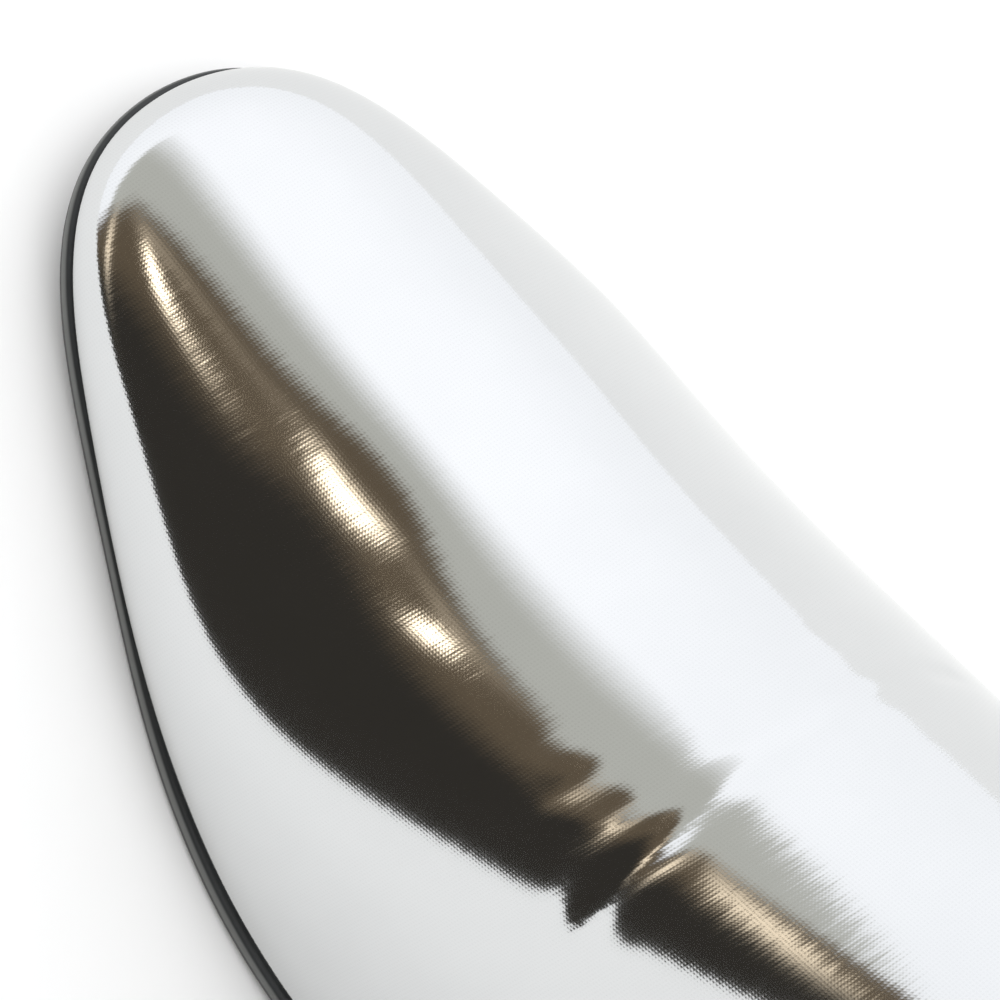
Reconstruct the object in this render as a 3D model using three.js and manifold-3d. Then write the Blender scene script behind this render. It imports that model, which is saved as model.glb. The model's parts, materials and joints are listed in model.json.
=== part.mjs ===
// Left ankle boot with an almond toe, a block heel and an inside zip, in millimetres.
// +Z is up, +X points to the toe and +Y to the outer side of the foot.
// The origin is the centre of the heel's tread on the floor.

import * as THREE from 'three';
import { mergeVertices } from 'three/addons/utils/BufferGeometryUtils.js';
import Module from 'manifold-3d';

const wasm = await Module();
wasm.setup();

// ---------------------------------------------------------------- dimensions
const TOE_X = 226; // tip of the upper at the feather line
const HEEL_X = -30; // back of the upper at the feather line
const FEATHER_LENGTH = TOE_X - HEEL_X;
const SOLE_THICKNESS = 3.5; // outsole under the ball
const WAIST_THICKNESS = 2.6; // outsole under the arch and seat
const BALL_X = 156; // where the sole touches the floor
const TOE_SPRING = 7; // rise of the feather line from ball to toe
const SEAT_HEIGHT = 60; // feather line at the back of the heel
const SEAT_SLOPE = 0.2;
const ARCH_START_X = 146;
const ARCH_END_X = 6;
const PLAN_ROUNDING = 66; // length over which the toe closes in plan
const SIDE_ROUNDING = 62; // length over which the toe closes in profile
const BACK_ROUNDING = 44; // length over which the heel closes
const SHAFT_HALF = 20.8; // half-width of the shaft at the floor, were it that long
const SHAFT_FLARE = 0.1225; // widening of each side with height
const SHAFT_START_X = 60; // the shaft's straight sides take over between these
const SHAFT_FULL_X = 28;
const TOPLINE_BACK_Z = 182;
const TOPLINE_RISE = 8;
const GAP = 0.3;
const LEATHER = 1.2;
const STIFFENER_OUT = 1.55;
const STIFFENER_IN = 2.45;
const LINING_OUT = 3.1;
const LINING_IN = 4.05;
const LASTING_MARGIN = 14.5; // leather turned in under the insole board
const BOARD_LOW = 1.8; // insole board above the feather line
const BOARD_HIGH = 4.3;
const SOCK_LOW = 4.6;
const SOCK_HIGH = 5.6;
const PAD_HIGH = 9;
const PAD_FRONT_X = 42;
const TREAD_THICKNESS = 6;
const TREAD_BACK_X = -23;
const TREAD_FRONT_X = 23;
const TREAD_HALF_WIDTH = 22;
const BREAST_X = 25; // front face of the heel at the seat
const SEAM_X = 18; // side seam, and the zip on the inner side
const ZIP_LOW_Z = 94;
const ZIP_HALF_GAP = 4.5;

// Stations along the upper, counted from the toe along the feather line and on up the back. The
// numbers are control values, which the spline rounds off: distance, ridge distance behind the toe,
// ridge height, half-width, bow of the sole and lean of the ridge to the outer side, roundness,
// share of the section that closes to the ridge, bulge of the wall.
const STATIONS = [
  [0, 0, 31, 34, 0, 0, 2.0, 1, 0.05],
  [10, 10, 28, 31, 0, -3, 1.9, 1, 0.05],
  [30, 30, 31, 31, 0, -2, 1.9, 1, 0.08],
  [50, 50, 38, 35, 0.5, -1.5, 1.8, 1, 0.12],
  [70, 70, 46, 40, 2.5, -2, 1.7, 1, 0.08],
  [92, 92, 60, 43, 3, -3, 1.9, 1, 0.02],
  [116, 113, 78, 42, 3, -4, 2.1, 1, 0],
  [142, 130, 94, 37, 2.5, -3, 2.4, 1, 0],
  [170, 143, 108, 32, 1.5, -2, 2.4, 0.85, 0],
  [198, 152, 120, 30, 0, 0, 2.5, 0.7, 0],
  [226, 157, 133, 30, 0, 0, 2.5, 0.55, 0],
  [248, 160, 146, 32, 0, 0, 2.5, 0.5, 0],
  [265, 160, 158, 34, 0, 0, 2.5, 0.5, 0],
  [300, 161, 171, 37, 0, 0, 2.5, 0.5, 0],
  [345, 160, 184, 41, 0, 0, 2.5, 0.5, 0],
  [385, 159, 196, 44, 0, 0, 2.5, 0.5, 0],
];
// x of the back line at every 20 mm of height from the seat up
const BACK_LINE = [-30, -33.5, -33, -29, -26.5, -27.5, -29.5, -31.5];

const COLOURS = {
  silver: [0xc9ccd0, 0.12, 1.0],
  rubber: [0x1b1c1d, 0.6, 0],
  board: [0x9a7d5c, 0.9, 0],
  fabric: [0x2a2a2c, 0.9, 0],
  lining: [0x8d8a86, 0.85, 0],
  steel: [0xb4b8bc, 0.3, 1.0],
  nickel: [0xd2d4d6, 0.22, 1.0],
  plastic: [0x2b2c2e, 0.5, 0],
};

// ---------------------------------------------------------------- numbers and curves
const clamp = (value, low, high) => Math.min(high, Math.max(low, value));

// Smooth step with level ends in slope and bend.
function ease(value) {
  const t = clamp(value, 0, 1);
  return t * t * t * (t * (6 * t - 15) + 10);
}

// Round closing curve: upright at 0, level from 1 on.
function closing(value) {
  const rest = 1 - clamp(value, 0, 1);
  return Math.sqrt(1 - rest * rest * rest);
}

// Uniform cubic spline over rows of numbers, drawn through its two ends.
function splineRow(rows, place) {
  const last = rows.length - 1;
  const u = clamp(place, 0, last - 1e-9);
  const index = Math.floor(u);
  const f = u - index;
  const row = (i) => {
    if (i < 0) {
      return rows[0].map((value, k) => 2 * value - rows[1][k]);
    }
    if (i > last) {
      return rows[last].map((value, k) => 2 * value - rows[last - 1][k]);
    }
    return rows[i];
  };
  const weights = [
    (1 - f) ** 3,
    3 * f ** 3 - 6 * f ** 2 + 4,
    -3 * f ** 3 + 3 * f ** 2 + 3 * f + 1,
    f ** 3,
  ];
  const near = [row(index - 1), row(index), row(index + 1), row(index + 2)];
  return rows[0].map((_, k) => weights.reduce((sum, w, j) => sum + w * near[j][k], 0) / 6);
}

// Height of the feather line, where the upper meets the outsole.
function featherZ(x) {
  const past = Math.max(0, (x - BALL_X) / (TOE_X - BALL_X));
  const fore = SOLE_THICKNESS + TOE_SPRING * past ** 2.2;
  const seat = SEAT_HEIGHT - SEAT_SLOPE * (x - HEEL_X);
  const share = ease((ARCH_START_X - x) / (ARCH_START_X - ARCH_END_X));
  return fore * (1 - share) + seat * share;
}

function backX(z) {
  const place = Math.max(0, (z - SEAT_HEIGHT) / 20);
  return splineRow(BACK_LINE.map((x) => [x]), place)[0];
}

// Station values at a distance along the feather line and back.
function stationAt(distance) {
  let low = 0;
  let high = STATIONS.length - 1;
  for (let step = 0; step < 40; step += 1) {
    const middle = (low + high) / 2;
    if (splineRow(STATIONS, middle)[0] < distance) {
      low = middle;
    } else {
      high = middle;
    }
  }
  return splineRow(STATIONS, (low + high) / 2);
}

// One section of the upper: a function of the share of the way from feather line to ridge.
function sectionAt(distance) {
  const [, ridgeBack, ridgeZ, halfWidth, shiftLow, shiftHigh, power, share, bulge] = stationAt(distance);
  const onSole = distance <= FEATHER_LENGTH;
  const zLow = onSole ? featherZ(TOE_X - distance) : SEAT_HEIGHT + distance - FEATHER_LENGTH;
  const xLow = onSole ? TOE_X - distance : backX(zLow);
  const xHigh = TOE_X - ridgeBack;
  const zSole = featherZ(xHigh);
  const zHigh = ridgeBack < SIDE_ROUNDING
    ? zSole + (ridgeZ - zSole) * closing(ridgeBack / SIDE_ROUNDING)
    : ridgeZ;
  const toe = closing(distance / PLAN_ROUNDING);
  return (way) => {
    const x = xLow + (xHigh - xLow) * way;
    const z = zLow + (zHigh - zLow) * way;
    const top = Math.sqrt(1 - clamp((way - (1 - share)) / share, 0, 1) ** power);
    const back = closing((x - backX(z)) / BACK_ROUNDING);
    const swell = 1 + bulge * 6.75 * way * (1 - way) ** 2;
    const shaft = ease((SHAFT_START_X - x) / (SHAFT_START_X - SHAFT_FULL_X));
    const width = halfWidth * (1 - shaft) + (SHAFT_HALF + SHAFT_FLARE * z) * shaft;
    const half = width * toe * top * back * swell;
    return { x, z, centre: shiftLow + (shiftHigh - shiftLow) * way, half };
  };
}

// Shares of the way that cut a section into pieces of equal length.
function evenWays(section, count) {
  const dense = 160;
  const ways = [];
  const lengths = [0];
  for (let i = 0; i <= dense; i += 1) {
    ways.push((1 - Math.cos((Math.PI * i) / dense)) / 2);
  }
  const points = ways.map((way) => section(way));
  for (let i = 1; i <= dense; i += 1) {
    const a = points[i - 1];
    const b = points[i];
    const side = b.centre + b.half - a.centre - a.half;
    lengths.push(lengths[i - 1] + Math.hypot(b.x - a.x, side, b.z - a.z));
  }
  const result = [];
  let at = 0;
  for (let k = 0; k <= count; k += 1) {
    const goal = (lengths[dense] * k) / count;
    while (at < dense - 1 && lengths[at + 1] < goal) {
      at += 1;
    }
    const span = lengths[at + 1] - lengths[at] || 1;
    result.push(ways[at] + ((ways[at + 1] - ways[at]) * (goal - lengths[at])) / span);
  }
  return result;
}

// Rows of points round the upper, each from the outer feather line over the ridge to the inner.
function upperRows(distances, around) {
  return distances.map((distance) => {
    const section = sectionAt(distance);
    const ways = evenWays(section, around);
    const outer = ways.map((way) => {
      const p = section(way);
      return new THREE.Vector3(p.x, p.centre + p.half, p.z);
    });
    const inner = ways.slice(0, -1).reverse().map((way) => {
      const p = section(way);
      return new THREE.Vector3(p.x, p.centre - p.half, p.z);
    });
    return [...outer, ...inner];
  });
}

// The same rows moved inwards against the surface's outward normal.
function insetRows(full, distances, inset) {
  const last = full[0].length - 1;
  return full.map((row, i) => row.map((point, j) => {
    if (i === 0) {
      return point.clone().add(new THREE.Vector3(-inset, 0, 0));
    }
    const closed = distances[i] >= FEATHER_LENGTH - 0.01;
    const before = full[Math.max(0, i - 1)][j];
    const after = full[Math.min(full.length - 1, i + 1)][j];
    const along = after.clone().sub(before);
    let left = row[Math.max(0, j - 1)];
    let right = row[Math.min(last, j + 1)];
    if (closed && (j === 0 || j === last)) {
      left = row[last - 1];
      right = row[1];
    }
    const across = right.clone().sub(left);
    const normal = along.cross(across);
    if (!closed && (j === 0 || j === last)) {
      normal.z = 0;
    }
    normal.normalize();
    return point.clone().addScaledVector(normal, -inset);
  }));
}

// ---------------------------------------------------------------- meshes and solids
function quad(out, a, b, c, d) {
  out.push(a, b, c, a, c, d);
}

// Triangles as a closed mesh with shared corners and no slivers.
function weld(points) {
  const flat = new Float32Array(points.flatMap((p) => [p.x, p.y, p.z]));
  const soup = new THREE.BufferGeometry();
  soup.setAttribute('position', new THREE.BufferAttribute(flat, 3));
  const merged = mergeVertices(soup, 1e-3);
  const index = [];
  for (let i = 0; i < merged.index.count; i += 3) {
    const [a, b, c] = [0, 1, 2].map((k) => merged.index.getX(i + k));
    if (a !== b && b !== c && a !== c) {
      index.push(a, b, c);
    }
  }
  merged.setIndex(index);
  return merged;
}

function solid(geometry) {
  const bare = geometry.clone();
  bare.deleteAttribute('normal');
  bare.deleteAttribute('uv');
  const merged = mergeVertices(bare, 1e-4);
  const made = new wasm.Manifold(new wasm.Mesh({
    numProp: 3,
    vertProperties: new Float32Array(merged.attributes.position.array),
    triVerts: new Uint32Array(merged.index.array),
  }));
  return made;
}

function geometryOf(body) {
  const mesh = body.getMesh();
  const geometry = new THREE.BufferGeometry();
  geometry.setAttribute('position', new THREE.BufferAttribute(new Float32Array(mesh.vertProperties), 3));
  geometry.setIndex([...mesh.triVerts]);
  geometry.computeVertexNormals();
  return geometry;
}

// Closed skin through rings of points, with a flat strip between each ring's ends.
function closedRows(rings) {
  const out = [];
  const last = rings[0].length - 1;
  for (let i = 0; i + 1 < rings.length; i += 1) {
    const here = rings[i];
    const next = rings[i + 1];
    for (let j = 0; j < last; j += 1) {
      quad(out, here[j], here[j + 1], next[j + 1], next[j]);
    }
    quad(out, here[last], here[0], next[0], next[last]);
  }
  const cap = (row, flip) => {
    for (let j = 0; 2 * j < last; j += 1) {
      const corners = [row[j], row[j + 1], row[last - j - 1], row[last - j]];
      if (flip) {
        corners.reverse();
      }
      quad(out, ...corners);
    }
  };
  cap(rings[0], true);
  cap(rings[rings.length - 1], false);
  return weld(out);
}

function outward(geometry) {
  const box = new THREE.Box3().setFromBufferAttribute(geometry.attributes.position);
  const middle = box.getCenter(new THREE.Vector3());
  const index = geometry.index.array;
  const p = geometry.attributes.position;
  let volume = 0;
  for (let i = 0; i < index.length; i += 3) {
    const [a, b, c] = [0, 1, 2].map((k) => new THREE.Vector3().fromBufferAttribute(p, index[i + k]).sub(middle));
    volume += a.dot(b.cross(c));
  }
  if (volume < 0) {
    const turned = [];
    for (let i = 0; i < index.length; i += 3) {
      turned.push(index[i], index[i + 2], index[i + 1]);
    }
    geometry.setIndex(turned);
  }
  return geometry;
}

// Distances of the sections: close together at the toe and at the foot of the back line.
const SECTIONS = [
  0, 0.9, 3, 7, 13, 21, 31, 43, 56, 70, 84, 98, 112, 127, 143, 160, 179, 199, 218, 234, 245,
  252, 256, 260, 268, 281, 299, 321, 352, 384.9,
];
const SOLE_SECTIONS = [
  0, 0.9, 3, 7, 13, 21, 30, 39, 48, 57, 66, 75, 84, 93, 102, 111, 120, 129, 138, 147, 156, 165, 174, 183,
  193, 203, 213, 223, 233, 241, 247.5, 252.5, 255.2, 256,
];
const rows = upperRows(SECTIONS, 10);

// Everything inside the upper's surface, drawn in by a distance.
function bodyInside(inset) {
  return solid(outward(closedRows(insetRows(rows, SECTIONS, inset))));
}

// Prism of an outline in the side view, through a range of y.
function sidePrism(points, yLow, yHigh) {
  const shape = new THREE.Shape(points.map(([x, z]) => new THREE.Vector2(x, z)));
  const geometry = new THREE.ExtrudeGeometry(shape, { depth: yHigh - yLow, bevelEnabled: false });
  geometry.rotateX(Math.PI / 2);
  geometry.translate(0, yHigh, 0);
  return geometry;
}

// Prism of an outline in plan, through a range of z.
function planPrism(points, zLow, zHigh) {
  const shape = new THREE.Shape(points.map(([x, y]) => new THREE.Vector2(x, y)));
  const geometry = new THREE.ExtrudeGeometry(shape, { depth: zHigh - zLow, bevelEnabled: false });
  geometry.translate(0, 0, zLow);
  return geometry;
}

function boxBetween(low, high) {
  const geometry = new THREE.BoxGeometry(high[0] - low[0], high[1] - low[1], high[2] - low[2]);
  geometry.translate((high[0] + low[0]) / 2, (high[1] + low[1]) / 2, (high[2] + low[2]) / 2);
  return geometry;
}

function upright(x, y, radius, zLow, zHigh, sides = 12) {
  const geometry = new THREE.CylinderGeometry(radius, radius, zHigh - zLow, sides);
  geometry.rotateX(Math.PI / 2);
  geometry.translate(x, y, (zLow + zHigh) / 2);
  return geometry;
}

// Everything below the feather line raised by a height.
function belowFeather(rise) {
  const points = [[-60, -20], [250, -20]];
  for (let k = 0; k <= 36; k += 1) {
    const x = 250 - (310 * k) / 36;
    points.push([x, featherZ(x) + rise]);
  }
  return solid(sidePrism(points, -80, 80));
}

// Everything above the topline, less a drop.
function aboveTopline(drop) {
  const points = [];
  for (let k = 0; k <= 8; k += 1) {
    const t = k / 8;
    const z = TOPLINE_BACK_Z + TOPLINE_RISE * t - 2.5 * Math.sin(Math.PI * t) - drop;
    points.push([-34 + 103 * t, z]);
  }
  points.unshift([-60, points[0][1]]);
  points.push([90, points[points.length - 1][1]], [90, 230], [-60, 230]);
  return solid(sidePrism(points, -80, 80));
}

// Feather line in plan, moved outwards by a margin: outer side from toe to heel.
function planEdge(margin, side) {
  const raw = SOLE_SECTIONS.map((distance) => {
    const p = sectionAt(distance)(0);
    return new THREE.Vector2(p.x, p.centre + side * p.half);
  });
  return raw.map((point, i) => {
    if (i === 0) {
      return new THREE.Vector2(point.x + margin, point.y);
    }
    if (i === raw.length - 1) {
      return new THREE.Vector2(point.x - margin, point.y);
    }
    const along = raw[i + 1].clone().sub(raw[i - 1]).normalize();
    return point.clone().add(new THREE.Vector2(-side * -along.y, -side * along.x).multiplyScalar(margin));
  });
}

function planOutline(margin, keep = () => true) {
  const outer = planEdge(margin, 1);
  const inner = planEdge(margin, -1).slice(1, -1).reverse();
  return [...outer, ...inner].filter(keep).map((p) => [p.x, p.y]);
}

// ---------------------------------------------------------------- the assembly
const group = new THREE.Group();
group.name = 'ankle_boot';

function add(name, geometry, finish, parent = group) {
  const [colour, roughness, metalness] = COLOURS[finish];
  const material = new THREE.MeshStandardMaterial({ color: colour, roughness, metalness });
  const mesh = new THREE.Mesh(geometry, material);
  mesh.name = name;
  parent.add(mesh);
  return mesh;
}

// Layer between two insets, above a rise over the feather line and below the topline.
function layer(outerBody, innerBody, rise, drop) {
  return outerBody
    .subtract(innerBody)
    .subtract(belowFeather(rise))
    .subtract(aboveTopline(drop));
}

// ---------------------------------------------------------------- fasteners and their holes
const NAIL_PLACES = [[-12, 11], [-12, -11], [9, 12], [9, -12]];
const RIVET_PLACES = [26, 90];
const NAIL_RADIUS = 1.2;
const NAIL_HEAD = 2.8;
const NAIL_LENGTH = 21;
const SCREW_RADIUS = 2.2;
const SCREW_HEAD = 4.4;

// A head's flat top, sunk below the sloping top of the insole board.
function headTop(x, headRadius) {
  return featherZ(x + headRadius) + BOARD_HIGH - 0.2;
}

function headed(x, y, radius, headRadius, length) {
  const topZ = headTop(x, headRadius);
  const stem = solid(upright(x, y, radius, topZ - length, topZ - 0.5));
  return stem.add(solid(upright(x, y, headRadius, topZ - 1.2, topZ)));
}

function headedHole(x, y, radius, headRadius, length) {
  const topZ = headTop(x, headRadius);
  const stem = solid(upright(x, y, radius + GAP, topZ - length - GAP, topZ - 1));
  return stem.add(solid(upright(x, y, headRadius + GAP, topZ - 1.2 - GAP, topZ + 8)));
}

let holes = headedHole(0, 0, SCREW_RADIUS, SCREW_HEAD, 30);
add('heel_screw', geometryOf(headed(0, 0, SCREW_RADIUS, SCREW_HEAD, 30)), 'steel');
NAIL_PLACES.forEach(([x, y], i) => {
  add(`heel_nail_${i + 1}`, geometryOf(headed(x, y, NAIL_RADIUS, NAIL_HEAD, NAIL_LENGTH)), 'steel');
  holes = holes.add(headedHole(x, y, NAIL_RADIUS, NAIL_HEAD, NAIL_LENGTH));
});
const rivetLength = (x) => headTop(x, 2) - featherZ(x) - 2 * GAP;
RIVET_PLACES.forEach((x, i) => {
  add(`shank_rivet_${i + 1}`, geometryOf(headed(x, 0, 1.2, 2, rivetLength(x))), 'steel');
  holes = holes.add(headedHole(x, 0, 1.2, 2, rivetLength(x)));
});

// ---------------------------------------------------------------- upper
const soleCut = belowFeather(GAP);
const lastingCut = belowFeather(GAP + LEATHER);
const topCut = aboveTopline(0);
const marginHole = solid(planPrism(planOutline(-LASTING_MARGIN), -10, 75))
  .intersect(belowFeather(GAP + LEATHER + 0.2));
const leather = bodyInside(0)
  .subtract(soleCut)
  .subtract(topCut)
  .subtract(bodyInside(LEATHER).subtract(lastingCut))
  .subtract(marginHole)
  .subtract(holes);

// Side cuts: the outer side seam, and on the inner side the seam with the zip opening above it.
const FAR = 300;
const frontKeep = solid(boxBetween([SEAM_X + GAP / 2, -90, -20], [FAR, 90, 250]));
const outerKeep = solid(boxBetween([-90, GAP / 2, -20], [SEAM_X - GAP / 2, 90, 250]));
const innerKeep = solid(boxBetween([-90, -90, -20], [SEAM_X - GAP / 2, -GAP / 2, 250]));
const zipHole = solid(boxBetween([SEAM_X - ZIP_HALF_GAP, -90, ZIP_LOW_Z], [SEAM_X + ZIP_HALF_GAP, 0, 250]));

add('vamp', geometryOf(leather.intersect(frontKeep).subtract(zipHole)), 'silver');
add('quarter_outer', geometryOf(leather.intersect(outerKeep)), 'silver');
add('quarter_inner', geometryOf(leather.intersect(innerKeep).subtract(zipHole)), 'silver');

// Back strip over the back seam.
const stripOutline = solid(boxBetween([-90, -7, SEAT_HEIGHT + 4], [5, 7, 250]));
const backStrip = bodyInside(-GAP - 1.1).subtract(bodyInside(-GAP)).intersect(stripOutline);
add('back_strip', geometryOf(backStrip.subtract(aboveTopline(0.8))), 'silver');

// Stiffeners between leather and lining.
const stiffener = layer(bodyInside(STIFFENER_OUT), bodyInside(STIFFENER_IN), BOARD_LOW, 30);
const puffBox = solid(boxBetween([172, -90, -20], [FAR, 90, 90]));
const counterTop = solid(sidePrism([[-60, 30], [26, 30], [26, 62], [-10, 104], [-60, 108]], -80, 80));
add('toe_puff', geometryOf(stiffener.intersect(puffBox)), 'fabric');
add('heel_counter', geometryOf(stiffener.intersect(counterTop)), 'fabric');

// Lining, with an open strip behind the zip.
const liningAll = layer(bodyInside(LINING_OUT), bodyInside(LINING_IN), BOARD_LOW, 1);
const liningHole = solid(boxBetween([SEAM_X - 5, -90, ZIP_LOW_Z - 6], [SEAM_X + 5, 0, 250]));
const liningBack = solid(boxBetween([-90, -90, -20], [SEAM_X - GAP / 2, 90, 250]));
add('vamp_lining', geometryOf(liningAll.intersect(frontKeep).subtract(liningHole)), 'lining');
add('quarter_lining', geometryOf(liningAll.intersect(liningBack).subtract(liningHole)), 'lining');

// ---------------------------------------------------------------- bottom
// Slab that follows the feather line between two heights.
function slab(outline, low, high) {
  const prism = solid(planPrism(outline, -20, 95));
  return prism.intersect(belowFeather(high)).subtract(belowFeather(low));
}

// The same inside the upper's own walls.
function slabInside(inset, low, high) {
  return bodyInside(inset).intersect(belowFeather(high)).subtract(belowFeather(low));
}

const board = slabInside(LINING_IN + 0.4, BOARD_LOW, BOARD_HIGH);
add('insole_board', geometryOf(board.subtract(holes)), 'board');

const shankShape = [];
for (let k = 0; k <= 20; k += 1) {
  const t = k / 20;
  shankShape.push([-9 + 103 * t, 5 + 1.5 * Math.sin(Math.PI * t)]);
}
const shankOutline = [...shankShape, ...shankShape.map(([x, y]) => [x, -y]).reverse()];
add('shank', geometryOf(slab(shankOutline, GAP + 0.1, GAP + 1.1).subtract(holes)), 'steel');

const fillerKeep = (p) => p.x > 97;
add('bottom_filler', geometryOf(slab(planOutline(-LASTING_MARGIN - 0.5, fillerKeep), GAP, 1.5)), 'board');

const sock = slabInside(LINING_IN + 0.5, SOCK_LOW, SOCK_HIGH);
add('sock_lining', geometryOf(sock), 'lining');

const padFront = solid(boxBetween([-90, -90, 0], [PAD_FRONT_X, 90, 90]));
const pad = slabInside(LINING_IN + 4, SOCK_HIGH + GAP, PAD_HIGH);
add('heel_pad', geometryOf(pad.intersect(padFront)), 'fabric');

// Outsole: a thin edge with a small lip, thinner under the arch.
function outsoleThickness(x) {
  const share = ease((x - 40) / 70);
  return WAIST_THICKNESS + (SOLE_THICKNESS - WAIST_THICKNESS) * share;
}

function outsoleRows() {
  const levels = [[0.2, -0.2], [0.9, 0.4], [0.9, 0.75], [0.2, 1]];
  const edges = levels.map(([margin]) => [planEdge(margin, 1), planEdge(margin, -1)]);
  return edges[0][0].map((_, i) => {
    const point = (level, side) => {
      const p = edges[level][side][i];
      return new THREE.Vector3(p.x, p.y, featherZ(p.x) - outsoleThickness(p.x) * levels[level][1]);
    };
    const outer = [0, 1, 2, 3].map((level) => point(level, 0));
    const inner = [3, 2, 1, 0].map((level) => point(level, 1));
    return [...outer, ...inner];
  });
}

const outsole = solid(outward(closedRows(outsoleRows())));
add('outsole', geometryOf(outsole.intersect(belowFeather(0)).subtract(holes)), 'rubber');

// Heel: rings from the seat outline down to the tread.
function treadRing(z, inset, count) {
  const points = [];
  const half = TREAD_HALF_WIDTH - inset;
  const back = TREAD_BACK_X + inset;
  const front = TREAD_FRONT_X - inset;
  for (let k = 0; k <= count; k += 1) {
    const t = (2 * k) / count - 1;
    const angle = (t * Math.PI) / 2;
    const bow = Math.abs(Math.sin(angle)) ** 0.75 * Math.sign(t);
    const x = back + (front - back) * (1 - Math.cos(angle) ** 0.62);
    points.push(new THREE.Vector3(x, -half * bow, z));
  }
  return points;
}

function seatRing(count) {
  const outer = planEdge(-0.4, 1).filter((p) => p.x <= BREAST_X + 12);
  const inner = planEdge(-0.4, -1).filter((p) => p.x <= BREAST_X + 12);
  const path = [...outer, ...inner.slice(0, -1).reverse()];
  const cut = path.map((p) => new THREE.Vector2(Math.min(p.x, BREAST_X), p.y));
  const lengths = [0];
  for (let i = 1; i < cut.length; i += 1) {
    lengths.push(lengths[i - 1] + cut[i].distanceTo(cut[i - 1]));
  }
  const total = lengths[lengths.length - 1];
  const points = [];
  for (let k = 0; k <= count; k += 1) {
    const goal = clamp((total * k) / count, 0, total - 1e-6);
    const i = Math.max(1, lengths.findIndex((length) => length > goal));
    const f = (goal - lengths[i - 1]) / (lengths[i] - lengths[i - 1]);
    const p = cut[i - 1].clone().lerp(cut[i], f);
    points.push(new THREE.Vector3(p.x, p.y, featherZ(p.x) - WAIST_THICKNESS + 1));
  }
  return points;
}

function heelRows() {
  const count = 30;
  const topRing = seatRing(count);
  const lowRing = treadRing(TREAD_THICKNESS + GAP, 0.4, count);
  const rows = [];
  for (let level = 0; level <= 8; level += 1) {
    const t = level / 8;
    const pull = t ** 0.62;
    rows.push(topRing.map((top, k) => {
      const low = lowRing[k];
      return new THREE.Vector3(
        top.x + (low.x - top.x) * pull,
        top.y + (low.y - top.y) * pull,
        top.z + (low.z - top.z) * t,
      );
    }));
  }
  return rows;
}

// Pins that hold the tread on, in holes open at their meeting faces.
const PIN_PLACES = [-9, 9];
let pinHoles = null;
PIN_PLACES.forEach((x, i) => {
  const pin = upright(x, 0, 1.8, 2.5, 17);
  add(`top_piece_pin_${i + 1}`, pin, 'steel');
  const hole = solid(upright(x, 0, 1.8 + GAP, 2.5 - GAP, 17 + GAP));
  pinHoles = pinHoles ? pinHoles.add(hole) : hole;
});
const heelBlock = solid(outward(closedRows(heelRows())));
const heelTop = belowFeather(-WAIST_THICKNESS - GAP);
add('heel_block', geometryOf(heelBlock.intersect(heelTop).subtract(holes).subtract(pinHoles)), 'silver');

const treadRows = [[0, 0.5], [0.8, 0], [TREAD_THICKNESS, 0]].map(([z, inset]) => treadRing(z, inset, 30));
const tread = solid(outward(closedRows(treadRows)));
add('heel_top_piece', geometryOf(tread.subtract(pinHoles)), 'rubber');

// ---------------------------------------------------------------- zip
// y of the upper's inner side where the section plane at a distance crosses a given x.
function innerSideAt(x, z) {
  let low = 150;
  let high = 384;
  for (let step = 0; step < 40; step += 1) {
    const middle = (low + high) / 2;
    const section = sectionAt(middle);
    const start = section(0);
    const end = section(1);
    const p = section((x - start.x) / (end.x - start.x));
    if (p.z < z) {
      low = middle;
    } else {
      high = middle;
    }
  }
  const section = sectionAt(low);
  const start = section(0);
  const end = section(1);
  const p = section((x - start.x) / (end.x - start.x));
  return p.centre - p.half;
}

const ZIP_HIGH_Z = 181;
const zipFoot = new THREE.Vector3(SEAM_X, innerSideAt(SEAM_X, ZIP_LOW_Z + 4), ZIP_LOW_Z + 4);
const zipHead = new THREE.Vector3(SEAM_X, innerSideAt(SEAM_X, ZIP_HIGH_Z), ZIP_HIGH_Z);
const zipAxis = zipHead.clone().sub(zipFoot);
const ZIP_LENGTH = zipAxis.length();
zipAxis.normalize();
// In the zip's own frame x runs across, y inwards from the leather's surface and z up the zip.
const zip = new THREE.Group();
zip.position.copy(zipFoot);
zip.rotation.x = -Math.atan2(zipAxis.y, zipAxis.z);
group.add(zip);

const TAPE_OUT = 1.8;
const TAPE_IN = 2.25;
const TOOTH_PITCH = 2.1;
const CHAIN_START = 3;
const CHAIN_END = ZIP_LENGTH - 4;

function tape(side) {
  const xs = [0.55 * side, 8.6 * side].sort((a, b) => a - b);
  return boxBetween([xs[0], TAPE_OUT, -2], [xs[1], TAPE_IN, ZIP_LENGTH - 0.5]);
}

// One row of teeth as a comb, its teeth pointing to the middle.
function teethRow(side) {
  const points = [[2.6, CHAIN_START], [2.6, CHAIN_END]];
  const count = Math.floor((CHAIN_END - CHAIN_START) / TOOTH_PITCH);
  for (let k = count - 1; k >= 0; k -= 1) {
    const z = CHAIN_START + TOOTH_PITCH * k + 0.4;
    points.push([1.7, z + 1.1], [0.6, z + 0.9], [0.6, z + 0.2], [1.7, z]);
  }
  const outline = points.map(([x, z]) => [x * side, z]);
  if (side < 0) {
    outline.reverse();
  }
  return sidePrism(outline, -0.4, TAPE_OUT - GAP);
}

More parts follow.
